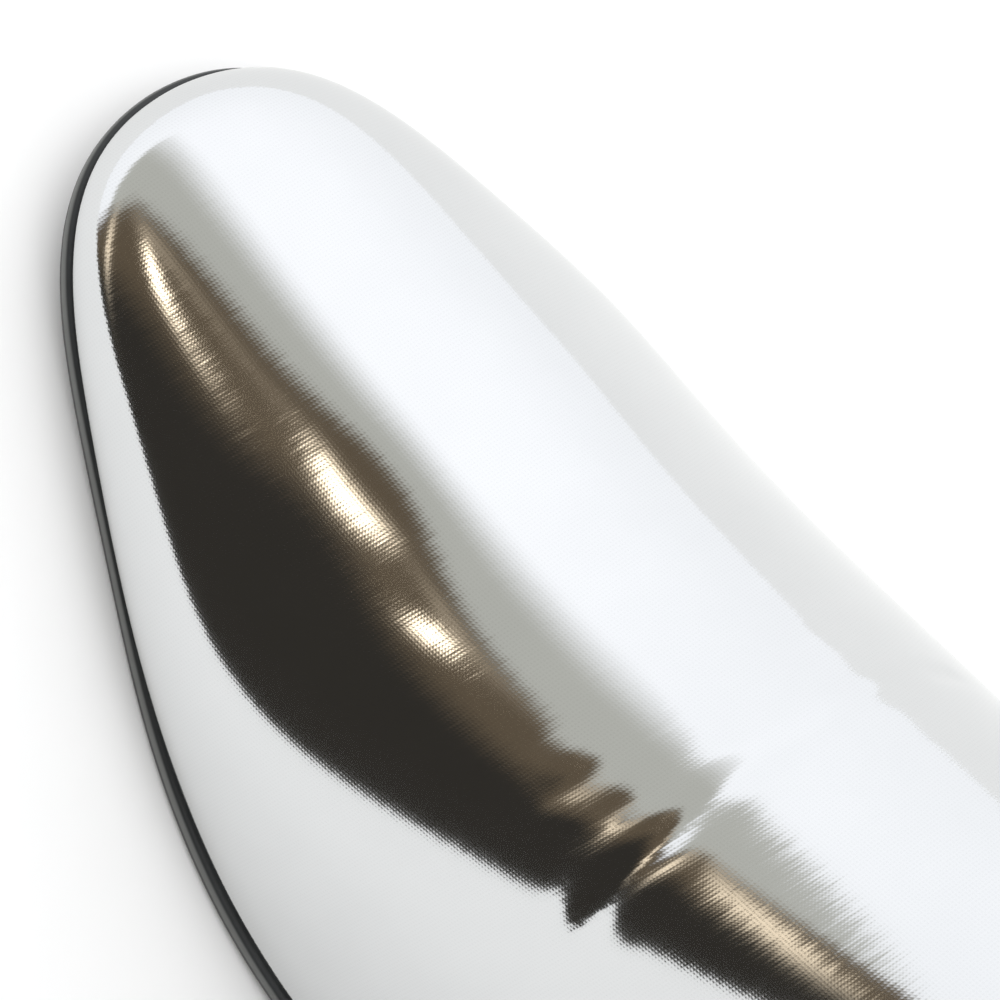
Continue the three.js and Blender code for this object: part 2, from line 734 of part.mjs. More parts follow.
add('zip_tape_front', tape(1), 'fabric', zip);
add('zip_tape_back', tape(-1), 'fabric', zip);
add('zip_teeth_front', teethRow(1), 'nickel', zip);
add('zip_teeth_back', teethRow(-1), 'nickel', zip);
add('zip_stop_top_front', boxBetween([0.7, -0.5, CHAIN_END + 0.5], [2.6, TAPE_OUT - GAP, CHAIN_END + 2.3]), 'nickel', zip);
add('zip_stop_top_back', boxBetween([-2.6, -0.5, CHAIN_END + 0.5], [-0.7, TAPE_OUT - GAP, CHAIN_END + 2.3]), 'nickel', zip);
add('zip_stop_bottom', boxBetween([-2.6, -0.5, 0.4], [2.6, TAPE_OUT - GAP, CHAIN_START - 0.4]), 'nickel', zip);

// Flap behind the zip.
const guard = boxBetween([-9, LINING_IN + 1, -3], [9, LINING_IN + 1.8, ZIP_LENGTH - 3]);
add('zip_guard', guard, 'lining', zip);

// Slider: two plates joined by a thin post that runs between the rows of teeth.
const SLIDER_Z = CHAIN_END - 5.6;
const SLIDER_HALF = 4.6;
const slider = new THREE.Group();
slider.position.set(0, 0, SLIDER_Z);
zip.add(slider);

function sliderBody() {
  const plate = [[-2.6, -SLIDER_HALF], [2.6, -SLIDER_HALF], [3.7, 0.5], [3.7, SLIDER_HALF], [-3.7, SLIDER_HALF], [-3.7, 0.5]];
  const parts = [
    sidePrism(plate, -2, -0.95),
    sidePrism(plate.map(([x, z]) => [x * 0.9, z]), 2.65, 3.35),
    boxBetween([-0.22, -1.2, -1.5], [0.22, 2.9, 3.4]),
    boxBetween([3.1, -1.3, 0.6], [3.7, 1.1, SLIDER_HALF]),
    boxBetween([-3.7, -1.3, 0.6], [-3.1, 1.1, SLIDER_HALF]),
    boxBetween([-0.9, -4.9, 2.2], [0.9, -1.5, 3.2]),
    boxBetween([-0.9, -4.9, -3.2], [0.9, -1.5, -2.2]),
    boxBetween([-0.9, -4.9, -2.5], [0.9, -4.1, 2.5]),
  ];
  return parts.map((geometry) => solid(geometry)).reduce((sum, body) => sum.add(body));
}
add('zip_slider', geometryOf(sliderBody()), 'nickel', slider);

// Pull: a bar through the slider's bail, two arms and a tongue, hanging upright.
const PULL_AXIS_Y = -3.05;
const pull = new THREE.Group();
pull.position.set(0, PULL_AXIS_Y, 0);
pull.rotation.x = -zip.rotation.x;
slider.add(pull);

function pullBody() {
  const bar = new THREE.CylinderGeometry(0.55, 0.55, 3.8, 12);
  bar.rotateZ(Math.PI / 2);
  const tongue = [[-1.9, -6], [-2.9, -8], [-2.9, -20], [-1.8, -22], [1.8, -22], [2.9, -20], [2.9, -8], [1.9, -6]];
  const parts = [
    bar,
    boxBetween([1.35, -0.6, -7], [2.1, 0.6, 0.7]),
    boxBetween([-2.1, -0.6, -7], [-1.35, 0.6, 0.7]),
    sidePrism(tongue, -0.6, 0.6),
  ];
  const whole = parts.map((geometry) => solid(geometry)).reduce((sum, body) => sum.add(body));
  const eye = new THREE.CylinderGeometry(1.1, 1.1, 4, 16);
  eye.translate(0, 0, -18);
  return whole.subtract(solid(eye));
}
add('zip_pull', geometryOf(pullBody()), 'nickel', pull);

export default group;
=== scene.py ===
import json
import math

import bmesh
import bpy
import numpy as np
from mathutils import Matrix, Vector


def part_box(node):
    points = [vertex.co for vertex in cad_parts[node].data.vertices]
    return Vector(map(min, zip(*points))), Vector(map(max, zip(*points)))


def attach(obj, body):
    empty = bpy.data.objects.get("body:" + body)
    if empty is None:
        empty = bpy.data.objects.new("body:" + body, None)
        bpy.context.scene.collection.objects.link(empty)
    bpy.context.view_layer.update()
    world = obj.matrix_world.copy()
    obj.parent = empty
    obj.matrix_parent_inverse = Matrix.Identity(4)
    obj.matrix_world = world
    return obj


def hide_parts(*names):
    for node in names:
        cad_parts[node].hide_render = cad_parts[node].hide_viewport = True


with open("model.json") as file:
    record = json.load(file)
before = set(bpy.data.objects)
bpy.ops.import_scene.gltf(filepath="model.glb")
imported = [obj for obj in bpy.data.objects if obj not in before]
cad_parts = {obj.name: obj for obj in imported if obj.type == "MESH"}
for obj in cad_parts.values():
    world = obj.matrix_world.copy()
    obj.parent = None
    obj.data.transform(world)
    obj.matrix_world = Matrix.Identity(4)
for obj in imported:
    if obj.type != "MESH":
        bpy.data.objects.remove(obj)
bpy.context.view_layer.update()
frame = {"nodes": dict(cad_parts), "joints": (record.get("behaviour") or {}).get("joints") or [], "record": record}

# Left ankle boot in silver foil leather. Lengths are in millimetres until a mesh is made.
# +Z is up, +X points to the toe and +Y to the outer side of the foot.
MM = 0.001

# ---------------------------------------------------------------- driving dimensions
TOE_X = 226.0
HEEL_X = -30.0
FEATHER_LENGTH = TOE_X - HEEL_X
SOLE_THICKNESS = 3.5
WAIST_THICKNESS = 2.6
BALL_X = 156.0
TOE_SPRING = 7.0
SEAT_HEIGHT = 60.0
SEAT_SLOPE = 0.2
ARCH_START_X = 146.0
ARCH_END_X = 6.0
PLAN_ROUNDING = 66.0
SIDE_ROUNDING = 62.0
BACK_ROUNDING = 44.0
SHAFT_HALF = 20.8
SHAFT_FLARE = 0.1225
SHAFT_START_X = 60.0
SHAFT_FULL_X = 28.0
SEAM_X = 18.0
SEAM_GAP = 0.15
ZIP_FOOT_Z = 98.0
ZIP_OPENING = 4.4
LEATHER = 1.2
LEATHER_DROP = 0.5
WELT_ROLL = 1.3
LINING_DROP = 1.2
LINING_FINE = 0.55
LINING_EDGE = 0.6
LINING_DEPTHS = (3.1, 4.05)
LINING_DEPTHS_TOP = (1.4, 2.3)
LINING_RISE = 14
BREAST_X = 25.0
STRIP_HALF = 6.8
STRIP_STITCH = 5.0
TOPLINE_STITCH_DROP = 3.4
SEAM_STITCHES = (2.0, 4.4)
ZIP_STITCHES = 6.4
SEAM_STITCH_FOOT = 58
ZIP_STITCH_FOOT = 97

# Control values along the upper: distance from the toe, ridge distance, ridge height, half-width,
# bow of the sole, lean of the ridge, roundness, share that closes to the ridge, bulge.
STATIONS = np.array([
    (0, 0, 31, 34, 0, 0, 2.0, 1, 0.05),
    (10, 10, 28, 31, 0, -3, 1.9, 1, 0.05),
    (30, 30, 31, 31, 0, -2, 1.9, 1, 0.08),
    (50, 50, 38, 35, 0.5, -1.5, 1.8, 1, 0.12),
    (70, 70, 46, 40, 2.5, -2, 1.7, 1, 0.08),
    (92, 92, 60, 43, 3, -3, 1.9, 1, 0.02),
    (116, 113, 78, 42, 3, -4, 2.1, 1, 0),
    (142, 130, 94, 37, 2.5, -3, 2.4, 1, 0),
    (170, 143, 108, 32, 1.5, -2, 2.4, 0.85, 0),
    (198, 152, 120, 30, 0, 0, 2.5, 0.7, 0),
    (226, 157, 133, 30, 0, 0, 2.5, 0.55, 0),
    (248, 160, 146, 32, 0, 0, 2.5, 0.5, 0),
    (265, 160, 158, 34, 0, 0, 2.5, 0.5, 0),
    (300, 161, 171, 37, 0, 0, 2.5, 0.5, 0),
    (345, 160, 184, 41, 0, 0, 2.5, 0.5, 0),
    (385, 159, 196, 44, 0, 0, 2.5, 0.5, 0),
])
BACK_LINE = np.array([[-30], [-33.5], [-33], [-29], [-26.5], [-27.5], [-29.5], [-31.5]])


# ---------------------------------------------------------------- curves of the last
def ease(value):
    t = np.clip(value, 0, 1)
    return t * t * t * (t * (6 * t - 15) + 10)


def closing(value):
    return np.sqrt(1 - (1 - np.clip(value, 0, 1)) ** 3)


def spline_rows(rows, places):
    """Uniform cubic spline over rows of numbers, drawn through its two ends."""
    last = len(rows) - 1
    u = np.clip(places, 0, last - 1e-9)
    index = np.floor(u).astype(int)
    f = (u - index)[:, None]
    padded = np.vstack([2 * rows[0] - rows[1], rows, 2 * rows[-1] - rows[-2]])
    weights = [(1 - f) ** 3, 3 * f ** 3 - 6 * f ** 2 + 4, -3 * f ** 3 + 3 * f ** 2 + 3 * f + 1, f ** 3]
    return sum(w * padded[index + j] for j, w in enumerate(weights)) / 6


STATION_TABLE = spline_rows(STATIONS.astype(float), np.linspace(0, len(STATIONS) - 1, 12001))
BACK_TABLE = spline_rows(BACK_LINE.astype(float), np.linspace(0, len(BACK_LINE) - 1, 6001))[:, 0]


def feather_z(x):
    past = np.clip((x - BALL_X) / (TOE_X - BALL_X), 0, None)
    fore = SOLE_THICKNESS + TOE_SPRING * past ** 2.2
    seat = SEAT_HEIGHT - SEAT_SLOPE * (x - HEEL_X)
    share = ease((ARCH_START_X - x) / (ARCH_START_X - ARCH_END_X))
    return fore * (1 - share) + seat * share


def back_x(z):
    place = np.clip((z - SEAT_HEIGHT) / 20, 0, len(BACK_LINE) - 1)
    return np.interp(place, np.linspace(0, len(BACK_LINE) - 1, len(BACK_TABLE)), BACK_TABLE)


def section_ends(distance):
    """Lower and upper end of the sections at these distances, in the side view."""
    ridge_back = np.interp(distance, STATION_TABLE[:, 0], STATION_TABLE[:, 1])
    ridge_z = np.interp(distance, STATION_TABLE[:, 0], STATION_TABLE[:, 2])
    on_sole = distance <= FEATHER_LENGTH
    z_up = SEAT_HEIGHT + distance - FEATHER_LENGTH
    x_low = np.where(on_sole, TOE_X - distance, back_x(z_up))
    z_low = np.where(on_sole, feather_z(TOE_X - distance), z_up)
    x_high = TOE_X - ridge_back
    z_sole = feather_z(x_high)
    rounded = z_sole + (ridge_z - z_sole) * closing(ridge_back / SIDE_ROUNDING)
    z_high = np.where(ridge_back < SIDE_ROUNDING, rounded, ridge_z)
    return x_low, z_low, x_high, z_high


def upper_point(distance, way, side, roll=WELT_ROLL):
    """Points of the upper's outer face; way runs from the lower end to the ridge."""
    values = [np.interp(distance, STATION_TABLE[:, 0], STATION_TABLE[:, k]) for k in range(3, 9)]
    half_width, bow, lean, power, share, bulge = values
    x_low, z_low, x_high, z_high = section_ends(distance)
    x = x_low + (x_high - x_low) * way
    z = z_low + (z_high - z_low) * way
    top = np.sqrt(np.clip(1 - np.clip((way - (1 - share)) / share, 0, 1) ** power, 0, 1))
    back = closing((x - back_x(z)) / BACK_ROUNDING)
    swell = 1 + bulge * 6.75 * way * (1 - way) ** 2
    shaft = ease((SHAFT_START_X - x) / (SHAFT_START_X - SHAFT_FULL_X))
    width = half_width * (1 - shaft) + (SHAFT_HALF + SHAFT_FLARE * z) * shaft
    half = width * closing(distance / PLAN_ROUNDING) * top * back * swell
    if roll:
        low = np.clip(1 - (z - z_low) / roll, 0, 1) * (distance <= FEATHER_LENGTH)
        tuck = 0.7 * roll * (1 - np.sqrt(1 - low ** 2))
        half = np.maximum(half - tuck, half * 0.2)
    return np.stack([x, bow + (lean - bow) * way + side * half, z], -1)


def topline(x):
    t = (x + 34) / 103
    return 182 + 8 * t - 2.5 * np.sin(np.pi * t)


def way_at_x(distance, edge_x):
    """Way at which the sections reach an upright edge, whose x may change with height."""
    x_low, z_low, x_high, z_high = section_ends(distance)
    way = np.zeros_like(distance)
    for _ in range(12):
        z = z_low + (z_high - z_low) * way
        way = np.clip((edge_x(z) - x_low) / np.maximum(x_high - x_low, 1e-9), 0, 1)
    return way


def end_at_topline(way_of, drop=0.0, count=1):
    """Distance at which each column reaches the topline."""
    low = np.full(count, 300.0)
    high = np.full(count, 384.9)
    for _ in range(40):
        middle = (low + high) / 2
        x_low, z_low, x_high, z_high = section_ends(middle)
        way = way_of(middle)
        over = z_low + (z_high - z_low) * way > topline(x_low + (x_high - x_low) * way) - drop
        high = np.where(over, middle, high)
        low = np.where(over, low, middle)
    return (low + high) / 2


def seam_edge(front, zipped, extra=0.0):
    """x of a side seam's edge, which stands back beside the zip."""
    sign = 1 if front else -1

    def edge(z):
        opening = ease((z - ZIP_FOOT_Z + 1.5) / 4) if zipped else 0
        return SEAM_X + sign * (SEAM_GAP + extra + (ZIP_OPENING - SEAM_GAP) * opening)
    return edge


# ---------------------------------------------------------------- grids of the upper
def half_grid(part, side, drop=0.0, fine=1.0, extra=0.0):
    """Rows by columns over one side of the front or the back part of the upper."""
    zipped = side < 0
    if part == "front":
        near_sole = np.array([0, 0.004, 0.009, 0.015, 0.022])
        q = np.concatenate([near_sole, np.linspace(0.03, 1, int(60 * fine))])
        edge = seam_edge(True, zipped, extra)

        def way_of(distance, q=q):
            start = way_at_x(distance, edge)
            return start + (1 - start) * np.sin(q * np.pi / 2)
        toe = 30 * (np.arange(int(44 * fine)) / int(44 * fine)) ** 2
        middle = np.linspace(30, 180, int(145 * fine))
        top = np.linspace(181.5, 370, int(92 * fine))
        base = np.concatenate([toe, middle, top])
        pivot = 200.0
    else:
        q = np.linspace(0, 1, int(56 * fine))
        edge = seam_edge(False, zipped, extra)

        def way_of(distance, q=q):
            return way_at_x(distance, edge) * (1 - np.cos(q * np.pi / 2))
        start = TOE_X - SEAM_X + SEAM_GAP + extra
        seat = FEATHER_LENGTH - (FEATHER_LENGTH - start) * (1 - np.linspace(0, 1, int(34 * fine))) ** 2
        base = np.concatenate([seat, np.linspace(FEATHER_LENGTH, 378, int(90 * fine))[1:]])
        pivot = FEATHER_LENGTH
    ends = end_at_topline(way_of, drop, len(q))
    stretch = (ends[None, :] - pivot) / (base[-1] - pivot)
    distance = np.where(base[:, None] <= pivot, base[:, None], pivot + (base[:, None] - pivot) * stretch)
    way = np.stack([way_of(row) for row in distance])
    return distance, way


def grid_normals(points, level, upright=None):
    along = np.gradient(points, axis=0)
    across = np.gradient(points, axis=1)
    normal = np.cross(along, across)
    normal[level] *= (1, 1, 0)
    if upright is not None:
        normal[upright] *= (1, 0, 1)
    length = np.linalg.norm(normal, axis=-1, keepdims=True)
    return normal / np.maximum(length, 1e-9)


class Skin:
    """Points, faces and a cloth map gathered into one mesh."""

    def __init__(self):
        self.points = []
        self.faces = []
        self.maps = []
        self.count = 0

    def add(self, points, mapped=None):
        points = np.asarray(points, float).reshape(-1, 3)
        mapped = points[:, :2] if mapped is None else np.asarray(mapped, float).reshape(-1, 2)
        self.points.append(points)
        self.maps.append(mapped)
        first = self.count
        self.count += len(points)
        return first

    def grid(self, points, mapped=None, flip=False):
        rows, columns = points.shape[:2]
        first = self.add(points, mapped)
        index = first + np.arange(rows * columns).reshape(rows, columns)
        quads = np.stack([index[:-1, :-1], index[1:, :-1], index[1:, 1:], index[:-1, 1:]], -1).reshape(-1, 4)
        self.faces += (quads[:, ::-1] if flip else quads).tolist()
        return index

    def strip(self, one, two):
        """Quads between two equal runs of points."""
        for k in range(len(one) - 1):
            self.faces.append([int(one[k]), int(one[k + 1]), int(two[k + 1]), int(two[k])])

    def piece(self, name, body, slot, nodes=(), finish=None, weld=1e-5, smooth=True, angle=None, turn=False):
        mesh = bpy.data.meshes.new(name)
        mesh.from_pydata((np.vstack(self.points) * MM).tolist(), [], self.faces)
        mapped = np.vstack(self.maps)
        layer = mesh.uv_layers.new(name="cloth")
        corners = np.zeros(len(mesh.loops), int)
        mesh.loops.foreach_get("vertex_index", corners)
        layer.data.foreach_set("uv", mapped[corners].astype(np.float32).ravel())
        made = bpy.data.objects.new(name, mesh)
        bpy.context.scene.collection.objects.link(made)
        work = bmesh.new()
        work.from_mesh(mesh)
        bmesh.ops.remove_doubles(work, verts=work.verts, dist=weld)
        if turn:
            bmesh.ops.recalc_face_normals(work, faces=work.faces)
        work.to_mesh(mesh)
        work.free()
        mesh.polygons.foreach_set("use_smooth", [smooth] * len(mesh.polygons))
        if angle is not None:
            only(made)
            bpy.ops.object.shade_smooth_by_angle(angle=math.radians(angle))
        return settle(made, body, slot, nodes, finish)


def only(made):
    bpy.ops.object.select_all(action="DESELECT")
    made.select_set(True)
    bpy.context.view_layer.objects.active = made


def settle(made, body, slot, nodes=(), finish=None):
    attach(made, body)
    if nodes:
        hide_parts(*nodes)
    made.data.materials.clear()
    made.data.materials.append(finish or FINISHES[slot])
    return made


# ---------------------------------------------------------------- shader writing
class Signal:
    """A shader socket that can be used in sums."""

    def __init__(self, finish, socket):
        self.finish = finish
        self.socket = socket

    def _math(self, operation, first, second=None):
        values = [first] if second is None else [first, second]
        return self.finish.node("ShaderNodeMath", {"operation": operation}, dict(enumerate(values)))

    def __add__(self, other):
        return self._math("ADD", self, other)

    def __radd__(self, other):
        return self._math("ADD", other, self)

    def __sub__(self, other):
        return self._math("SUBTRACT", self, other)

    def __rsub__(self, other):
        return self._math("SUBTRACT", other, self)

    def __mul__(self, other):
        return self._math("MULTIPLY", self, other)

    def __rmul__(self, other):
        return self._math("MULTIPLY", other, self)

    def __truediv__(self, other):
        return self._math("DIVIDE", self, other)

    def call(self, operation, other=None):
        return self._math(operation, self, other)

    def sine(self):
        return self.call("SINE")

    def between(self, low, high):
        """0 below low and 1 above high, with a soft step between them."""
        return self.finish.node(
            "ShaderNodeMapRange", {"interpolation_type": "SMOOTHSTEP"}, {0: self, 1: low, 2: high},
        )


class Finish:
    """A material, or the world, and its nodes."""

    def __init__(self, owner):
        self.owner = owner
        owner.use_nodes = True
        self.tree = owner.node_tree
        self.tree.nodes.clear()

    def node(self, kind, settings=None, values=None, out=0):
        made = self.tree.nodes.new(kind)
        for key, value in (settings or {}).items():
            setattr(made, key, value)
        for key, value in (values or {}).items():
            socket = made.inputs[key]
            if isinstance(value, Signal):
                self.tree.links.new(value.socket, socket)
            else:
                socket.default_value = value
        return Signal(self, made.outputs[out])

    def place(self, name="Object"):
        return self.node("ShaderNodeTexCoord", out=name)

    def cloth(self):
        return self.node("ShaderNodeUVMap", {"uv_map": "cloth"})

    def scaled(self, vector, scale):
        return self.node("ShaderNodeVectorMath", {"operation": "MULTIPLY"}, {0: vector, 1: scale})

    def parts(self, vector):
        split = self.tree.nodes.new("ShaderNodeSeparateXYZ")
        self.tree.links.new(vector.socket, split.inputs[0])
        return [Signal(self, output) for output in split.outputs]

    def noise(self, vector, scale, detail=2.0, rough=0.5):
        values = {"Vector": vector, "Scale": scale, "Detail": detail, "Roughness": rough}
        return self.node("ShaderNodeTexNoise", {}, values)

    def mix(self, factor, one, two):
        return self.node("ShaderNodeMix", {"data_type": "RGBA"}, {0: factor, 6: one, 7: two}, out=2)

    def bump(self, height):
        """Relief of a height in millimetres."""
        return self.node("ShaderNodeBump", {}, {"Height": height, "Distance": MM, "Strength": 1.0})

    def surface(self, **values):
        made = self.tree.nodes.new("ShaderNodeBsdfPrincipled")
        for key, value in values.items():
            socket = made.inputs[key.replace("_", " ")]
            if isinstance(value, Signal):
                self.tree.links.new(value.socket, socket)
            else:
                socket.default_value = value
        output = self.tree.nodes.new("ShaderNodeOutputMaterial")
        self.tree.links.new(made.outputs[0], output.inputs[0])
        return self.owner


def material(name):
    return Finish(bpy.data.materials.new(name))


def foil_leather():
    """Silver foil on a fine weave, with the slight strokes that pulling it over the last leaves."""
    m = material("foil_leather")
    cloth = m.cloth()
    u, v = m.parts(cloth)[:2]
    dots = (u * (2 * math.pi / 0.9)).sine() * (v * (2 * math.pi / 1.06)).sine()
    dots = dots * dots
    strokes = m.noise(m.scaled(cloth, (0.10, 0.55, 1)), 1.0, 3.0, 0.55)
    pebble = m.noise(m.scaled(cloth, (0.5, 0.5, 1)), 1.0, 2.0, 0.5)
    height = dots * 0.0016 + strokes * 0.009 + pebble * 0.004
    worn = m.noise(m.scaled(cloth, (0.05, 0.05, 1)), 1.0, 3.0, 0.6)
    colour = m.mix(worn, (0.74, 0.75, 0.765, 1), (0.80, 0.81, 0.825, 1))
    colour = m.mix(dots * 0.16, colour, (0.55, 0.55, 0.56, 1))
    return m.surface(
        Base_Color=colour, Metallic=1.0, Roughness=0.055 + worn * 0.04, Normal=m.bump(height),
    )


def heel_wrap():
    """The same foil over the hard heel, where it lies smoother."""
    m = material("heel_wrap")
    place = m.place()
    strokes = m.noise(m.scaled(place, (700, 700, 160)), 1.0, 2.0, 0.5)
    worn = m.noise(place, 60.0, 3.0, 0.6)
    colour = m.mix(worn, (0.80, 0.81, 0.83, 1), (0.90, 0.91, 0.92, 1))
    return m.surface(
        Base_Color=colour, Metallic=1.0, Roughness=0.08 + worn * 0.07, Normal=m.bump(strokes * 0.012),
    )


def lining_leather():
    m = material("lining_leather")
    place = m.place()
    pores = {"Vector": place, "Scale": 1300.0}
    grain = m.node("ShaderNodeTexVoronoi", {"feature": "DISTANCE_TO_EDGE"}, pores)
    cloud = m.noise(place, 55.0, 4.0, 0.6)
    colour = m.mix(cloud, (0.050, 0.046, 0.043, 1), (0.105, 0.098, 0.090, 1))
    height = grain.call("MINIMUM", 0.25) * 0.25 + cloud * 0.1
    return m.surface(Base_Color=colour, Roughness=0.55 + cloud * 0.25, Normal=m.bump(height))


def covered_foam():
    m = material("covered_foam")
    place = m.place()
    weave = m.noise(place, 2600.0, 2.0, 0.5)
    cloud = m.noise(place, 90.0, 3.0, 0.6)
    colour = m.mix(cloud, (0.035, 0.033, 0.031, 1), (0.070, 0.066, 0.062, 1))
    return m.surface(Base_Color=colour, Roughness=0.85, Normal=m.bump(weave * 0.1), Sheen_Weight=0.2)


def pressed_board():
    m = material("pressed_board")
    place = m.place()
    fibre = m.noise(m.scaled(place, (900, 300, 900)), 1.0, 4.0, 0.65)
    colour = m.mix(fibre, (0.24, 0.16, 0.095, 1), (0.42, 0.31, 0.20, 1))
    return m.surface(Base_Color=colour, Roughness=0.8 + fibre * 0.15, Normal=m.bump(fibre * 0.08))


def felt():
    m = material("stiffened_felt")
    place = m.place()
    fibre = m.noise(place, 1500.0, 4.0, 0.7)
    colour = m.mix(fibre, (0.20, 0.19, 0.17, 1), (0.36, 0.34, 0.31, 1))
    return m.surface(Base_Color=colour, Roughness=0.95, Normal=m.bump(fibre * 0.15))


def steel():
    m = material("plain_steel")
    place = m.place()
    drawn = m.noise(m.scaled(place, (300, 2500, 2500)), 1.0, 2.0, 0.5)
    colour = m.mix(drawn, (0.45, 0.46, 0.47, 1), (0.58, 0.59, 0.60, 1))
    return m.surface(Base_Color=colour, Metallic=1.0, Roughness=0.28 + drawn * 0.15)


def sole_edge():
    """Dark resin sole with a satin, slightly dusty edge, and a paler band painted on the bevel at the feather line
    as a highlight where the bevel catches light.
    """
    m = material("sole_edge")
    v = m.parts(m.cloth())[1]
    place = m.place()
    dust = m.noise(place, 240.0, 4.0, 0.6)
    # Paler band over the rounded top of the edge: a painted highlight where the bevel catches light, mixed over
    # the dusty colour below.
    bevel = v.between(0.15, 0.45) * (1 - v.between(1.35, 1.75))
    colour = m.mix(dust, (0.018, 0.020, 0.021, 1), (0.036, 0.038, 0.040, 1))
    colour = m.mix(bevel * 0.85, colour, (0.17, 0.175, 0.17, 1))
    scuff = m.noise(m.scaled(place, (900, 900, 900)), 1.0, 2.0, 0.5)
    return m.surface(Base_Color=colour, Roughness=0.38 + dust * 0.25, Normal=m.bump(scuff * 0.03))


def tread_rubber():
    m = material("tread_rubber")
    place = m.place()
    grit = m.noise(place, 1800.0, 3.0, 0.6)
    cloud = m.noise(place, 160.0, 3.0, 0.6)
    colour = m.mix(cloud, (0.016, 0.016, 0.017, 1), (0.034, 0.034, 0.035, 1))
    return m.surface(Base_Color=colour, Roughness=0.6 + cloud * 0.2, Normal=m.bump(grit * 0.06))


def woven_tape():
    m = material("woven_tape")
    place = m.place()
    x, _, z = m.parts(place)
    rib = (z * (2 * math.pi / 0.0006)).sine() * (x * (2 * math.pi / 0.0008)).sine()
    cloud = m.noise(place, 150.0, 3.0, 0.6)
    colour = m.mix(rib * 0.25 + cloud * 0.5 + 0.1, (0.085, 0.086, 0.09, 1), (0.20, 0.20, 0.205, 1))
    return m.surface(Base_Color=colour, Roughness=0.8, Normal=m.bump(rib * 0.05))


def nickel(name, low, high):
    m = material(name)
    place = m.place()
    rub = m.noise(m.scaled(place, (2400, 2400, 500)), 1.0, 3.0, 0.6)
    colour = m.mix(rub, (0.60, 0.60, 0.59, 1), (0.78, 0.78, 0.77, 1))
    return m.surface(
        Base_Color=colour, Metallic=1.0, Roughness=low + rub * (high - low), Normal=m.bump(rub * 0.006),
    )


def thread():
    m = material("grey_thread")
    place = m.place()
    twist = m.noise(place, 5200.0, 1.0, 0.5)
    colour = m.mix(twist, (0.26, 0.265, 0.27, 1), (0.50, 0.51, 0.52, 1))
    return m.surface(Base_Color=colour, Roughness=0.55, Normal=m.bump(twist * 0.05))


FINISHES = {
    "foil_leather": foil_leather(),
    "stiffener_felt": felt(),
    "lining_leather": lining_leather(),
    "foam_pad": covered_foam(),
    "fibre_board": pressed_board(),
    "spring_steel": steel(),
    "sole_rubber": sole_edge(),
    "wrapped_heel": heel_wrap(),
    "tread_rubber": tread_rubber(),
    "zip_tape": woven_tape(),
    "zip_metal": nickel("zip_nickel", 0.16, 0.34),
    "slider_metal": nickel("slider_nickel", 0.12, 0.26),
}
THREAD = thread()
for part in frame["record"]["subparts"]:
    node = frame["nodes"][part["node"]]
    node.data.materials.clear()
    node.data.materials.append(FINISHES[part["material_slot"]])


# ---------------------------------------------------------------- folds in the leather
# Each fold: points on the upper, depth and width of its valley, height of the roll beside it.
FOLDS = [
    ([(112, 31, 52), (115, 27, 56), (118, 22, 61), (119, 16, 65.5), (121, 11, 67.5)], 0.15, 1.5, 0.08),
    ([(119, 16, 65.5), (121.5, 9, 68), (120.5, 0, 71), (120, -13, 70), (117, -24, 65)], 0.07, 1.4, 0.03),
    ([(117.5, -19, 67.5), (117, -22, 66), (116.5, -25, 64)], 0.42, 1.5, 0.08),
    ([(130, 24, 52), (129, 20, 57), (130, 16, 58.5)], 0.08, 1.7, 0.06),
    ([(123, 26, 53), (125, 23, 56)], 0.06, 1.5, 0.05),
    ([(126, 20, 59), (123, 17, 62)], 0.06, 1.4, 0.04),
    ([(132, -14, 60), (124, -17.5, 64)], 0.05, 1.8, 0.03),
]


def fold_lift(points):
    """Movement along the normal that the folds give to points of the upper."""
    lift = np.zeros(points.shape[:-1])
    for path, depth, width, roll in FOLDS:
        path = np.array(path, float)
        spans = np.linalg.norm(np.diff(path, axis=0), axis=1)
        starts = np.concatenate([[0], np.cumsum(spans)])
        smooth = np.linspace(0, len(path) - 1, 60)
        line = spline_rows(path, smooth)
        length = np.linspace(0, starts[-1], 60)
        gap = np.linalg.norm(points[..., None, :] - line, axis=-1)
        nearest = gap.argmin(-1)
        away = gap.min(-1)
        ahead = np.sign(points[..., 0] - line[nearest, 0])
        along = length[nearest]
        fade = ease(along / (0.3 * starts[-1])) * ease((starts[-1] - along) / (0.3 * starts[-1]))
        signed = away * ahead
        valley = -depth * np.exp(-(signed / width) ** 2)
        rolls = roll * np.exp(-((signed - 2.1 * width) / (1.5 * width)) ** 2)
        rolls += 0.6 * roll * np.exp(-((signed + 2.3 * width) / (1.6 * width)) ** 2)
        lift += fade * (valley + rolls)
    return lift


# ---------------------------------------------------------------- the upper
RIM_ROUND = 0.25


def cloth_map(points, ridge_last):
    """Girth and length over the leather, in millimetres."""
    across = np.linalg.norm(np.diff(points, axis=1), axis=-1)
    girth = np.concatenate([np.zeros((len(points), 1)), np.cumsum(across, axis=1)], axis=1)
    if ridge_last:
        girth = girth - girth[:, -1:]
    along = np.linalg.norm(np.diff(points[:, -1 if ridge_last else 0], axis=0), axis=-1)
    length = np.concatenate([[0], np.cumsum(along)])
    return np.stack([girth, np.repeat(length[:, None], points.shape[1], axis=1)], -1)


def rim(skin, outer, inner, index_outer, index_inner, mapped, bulge):
    """Rounded edge between two matching runs of border points."""
    middle = (outer + inner) / 2
    rings = [index_outer]
    for angle in (30, 90, 150):
        a = math.radians(angle)
        ring = middle + (outer - middle) * math.cos(a) + bulge * math.sin(a)
        first = skin.add(ring, mapped)
        rings.append(first + np.arange(len(ring)))
    rings.append(index_inner)
    for one, two in zip(rings, rings[1:]):
        skin.strip(one, two)


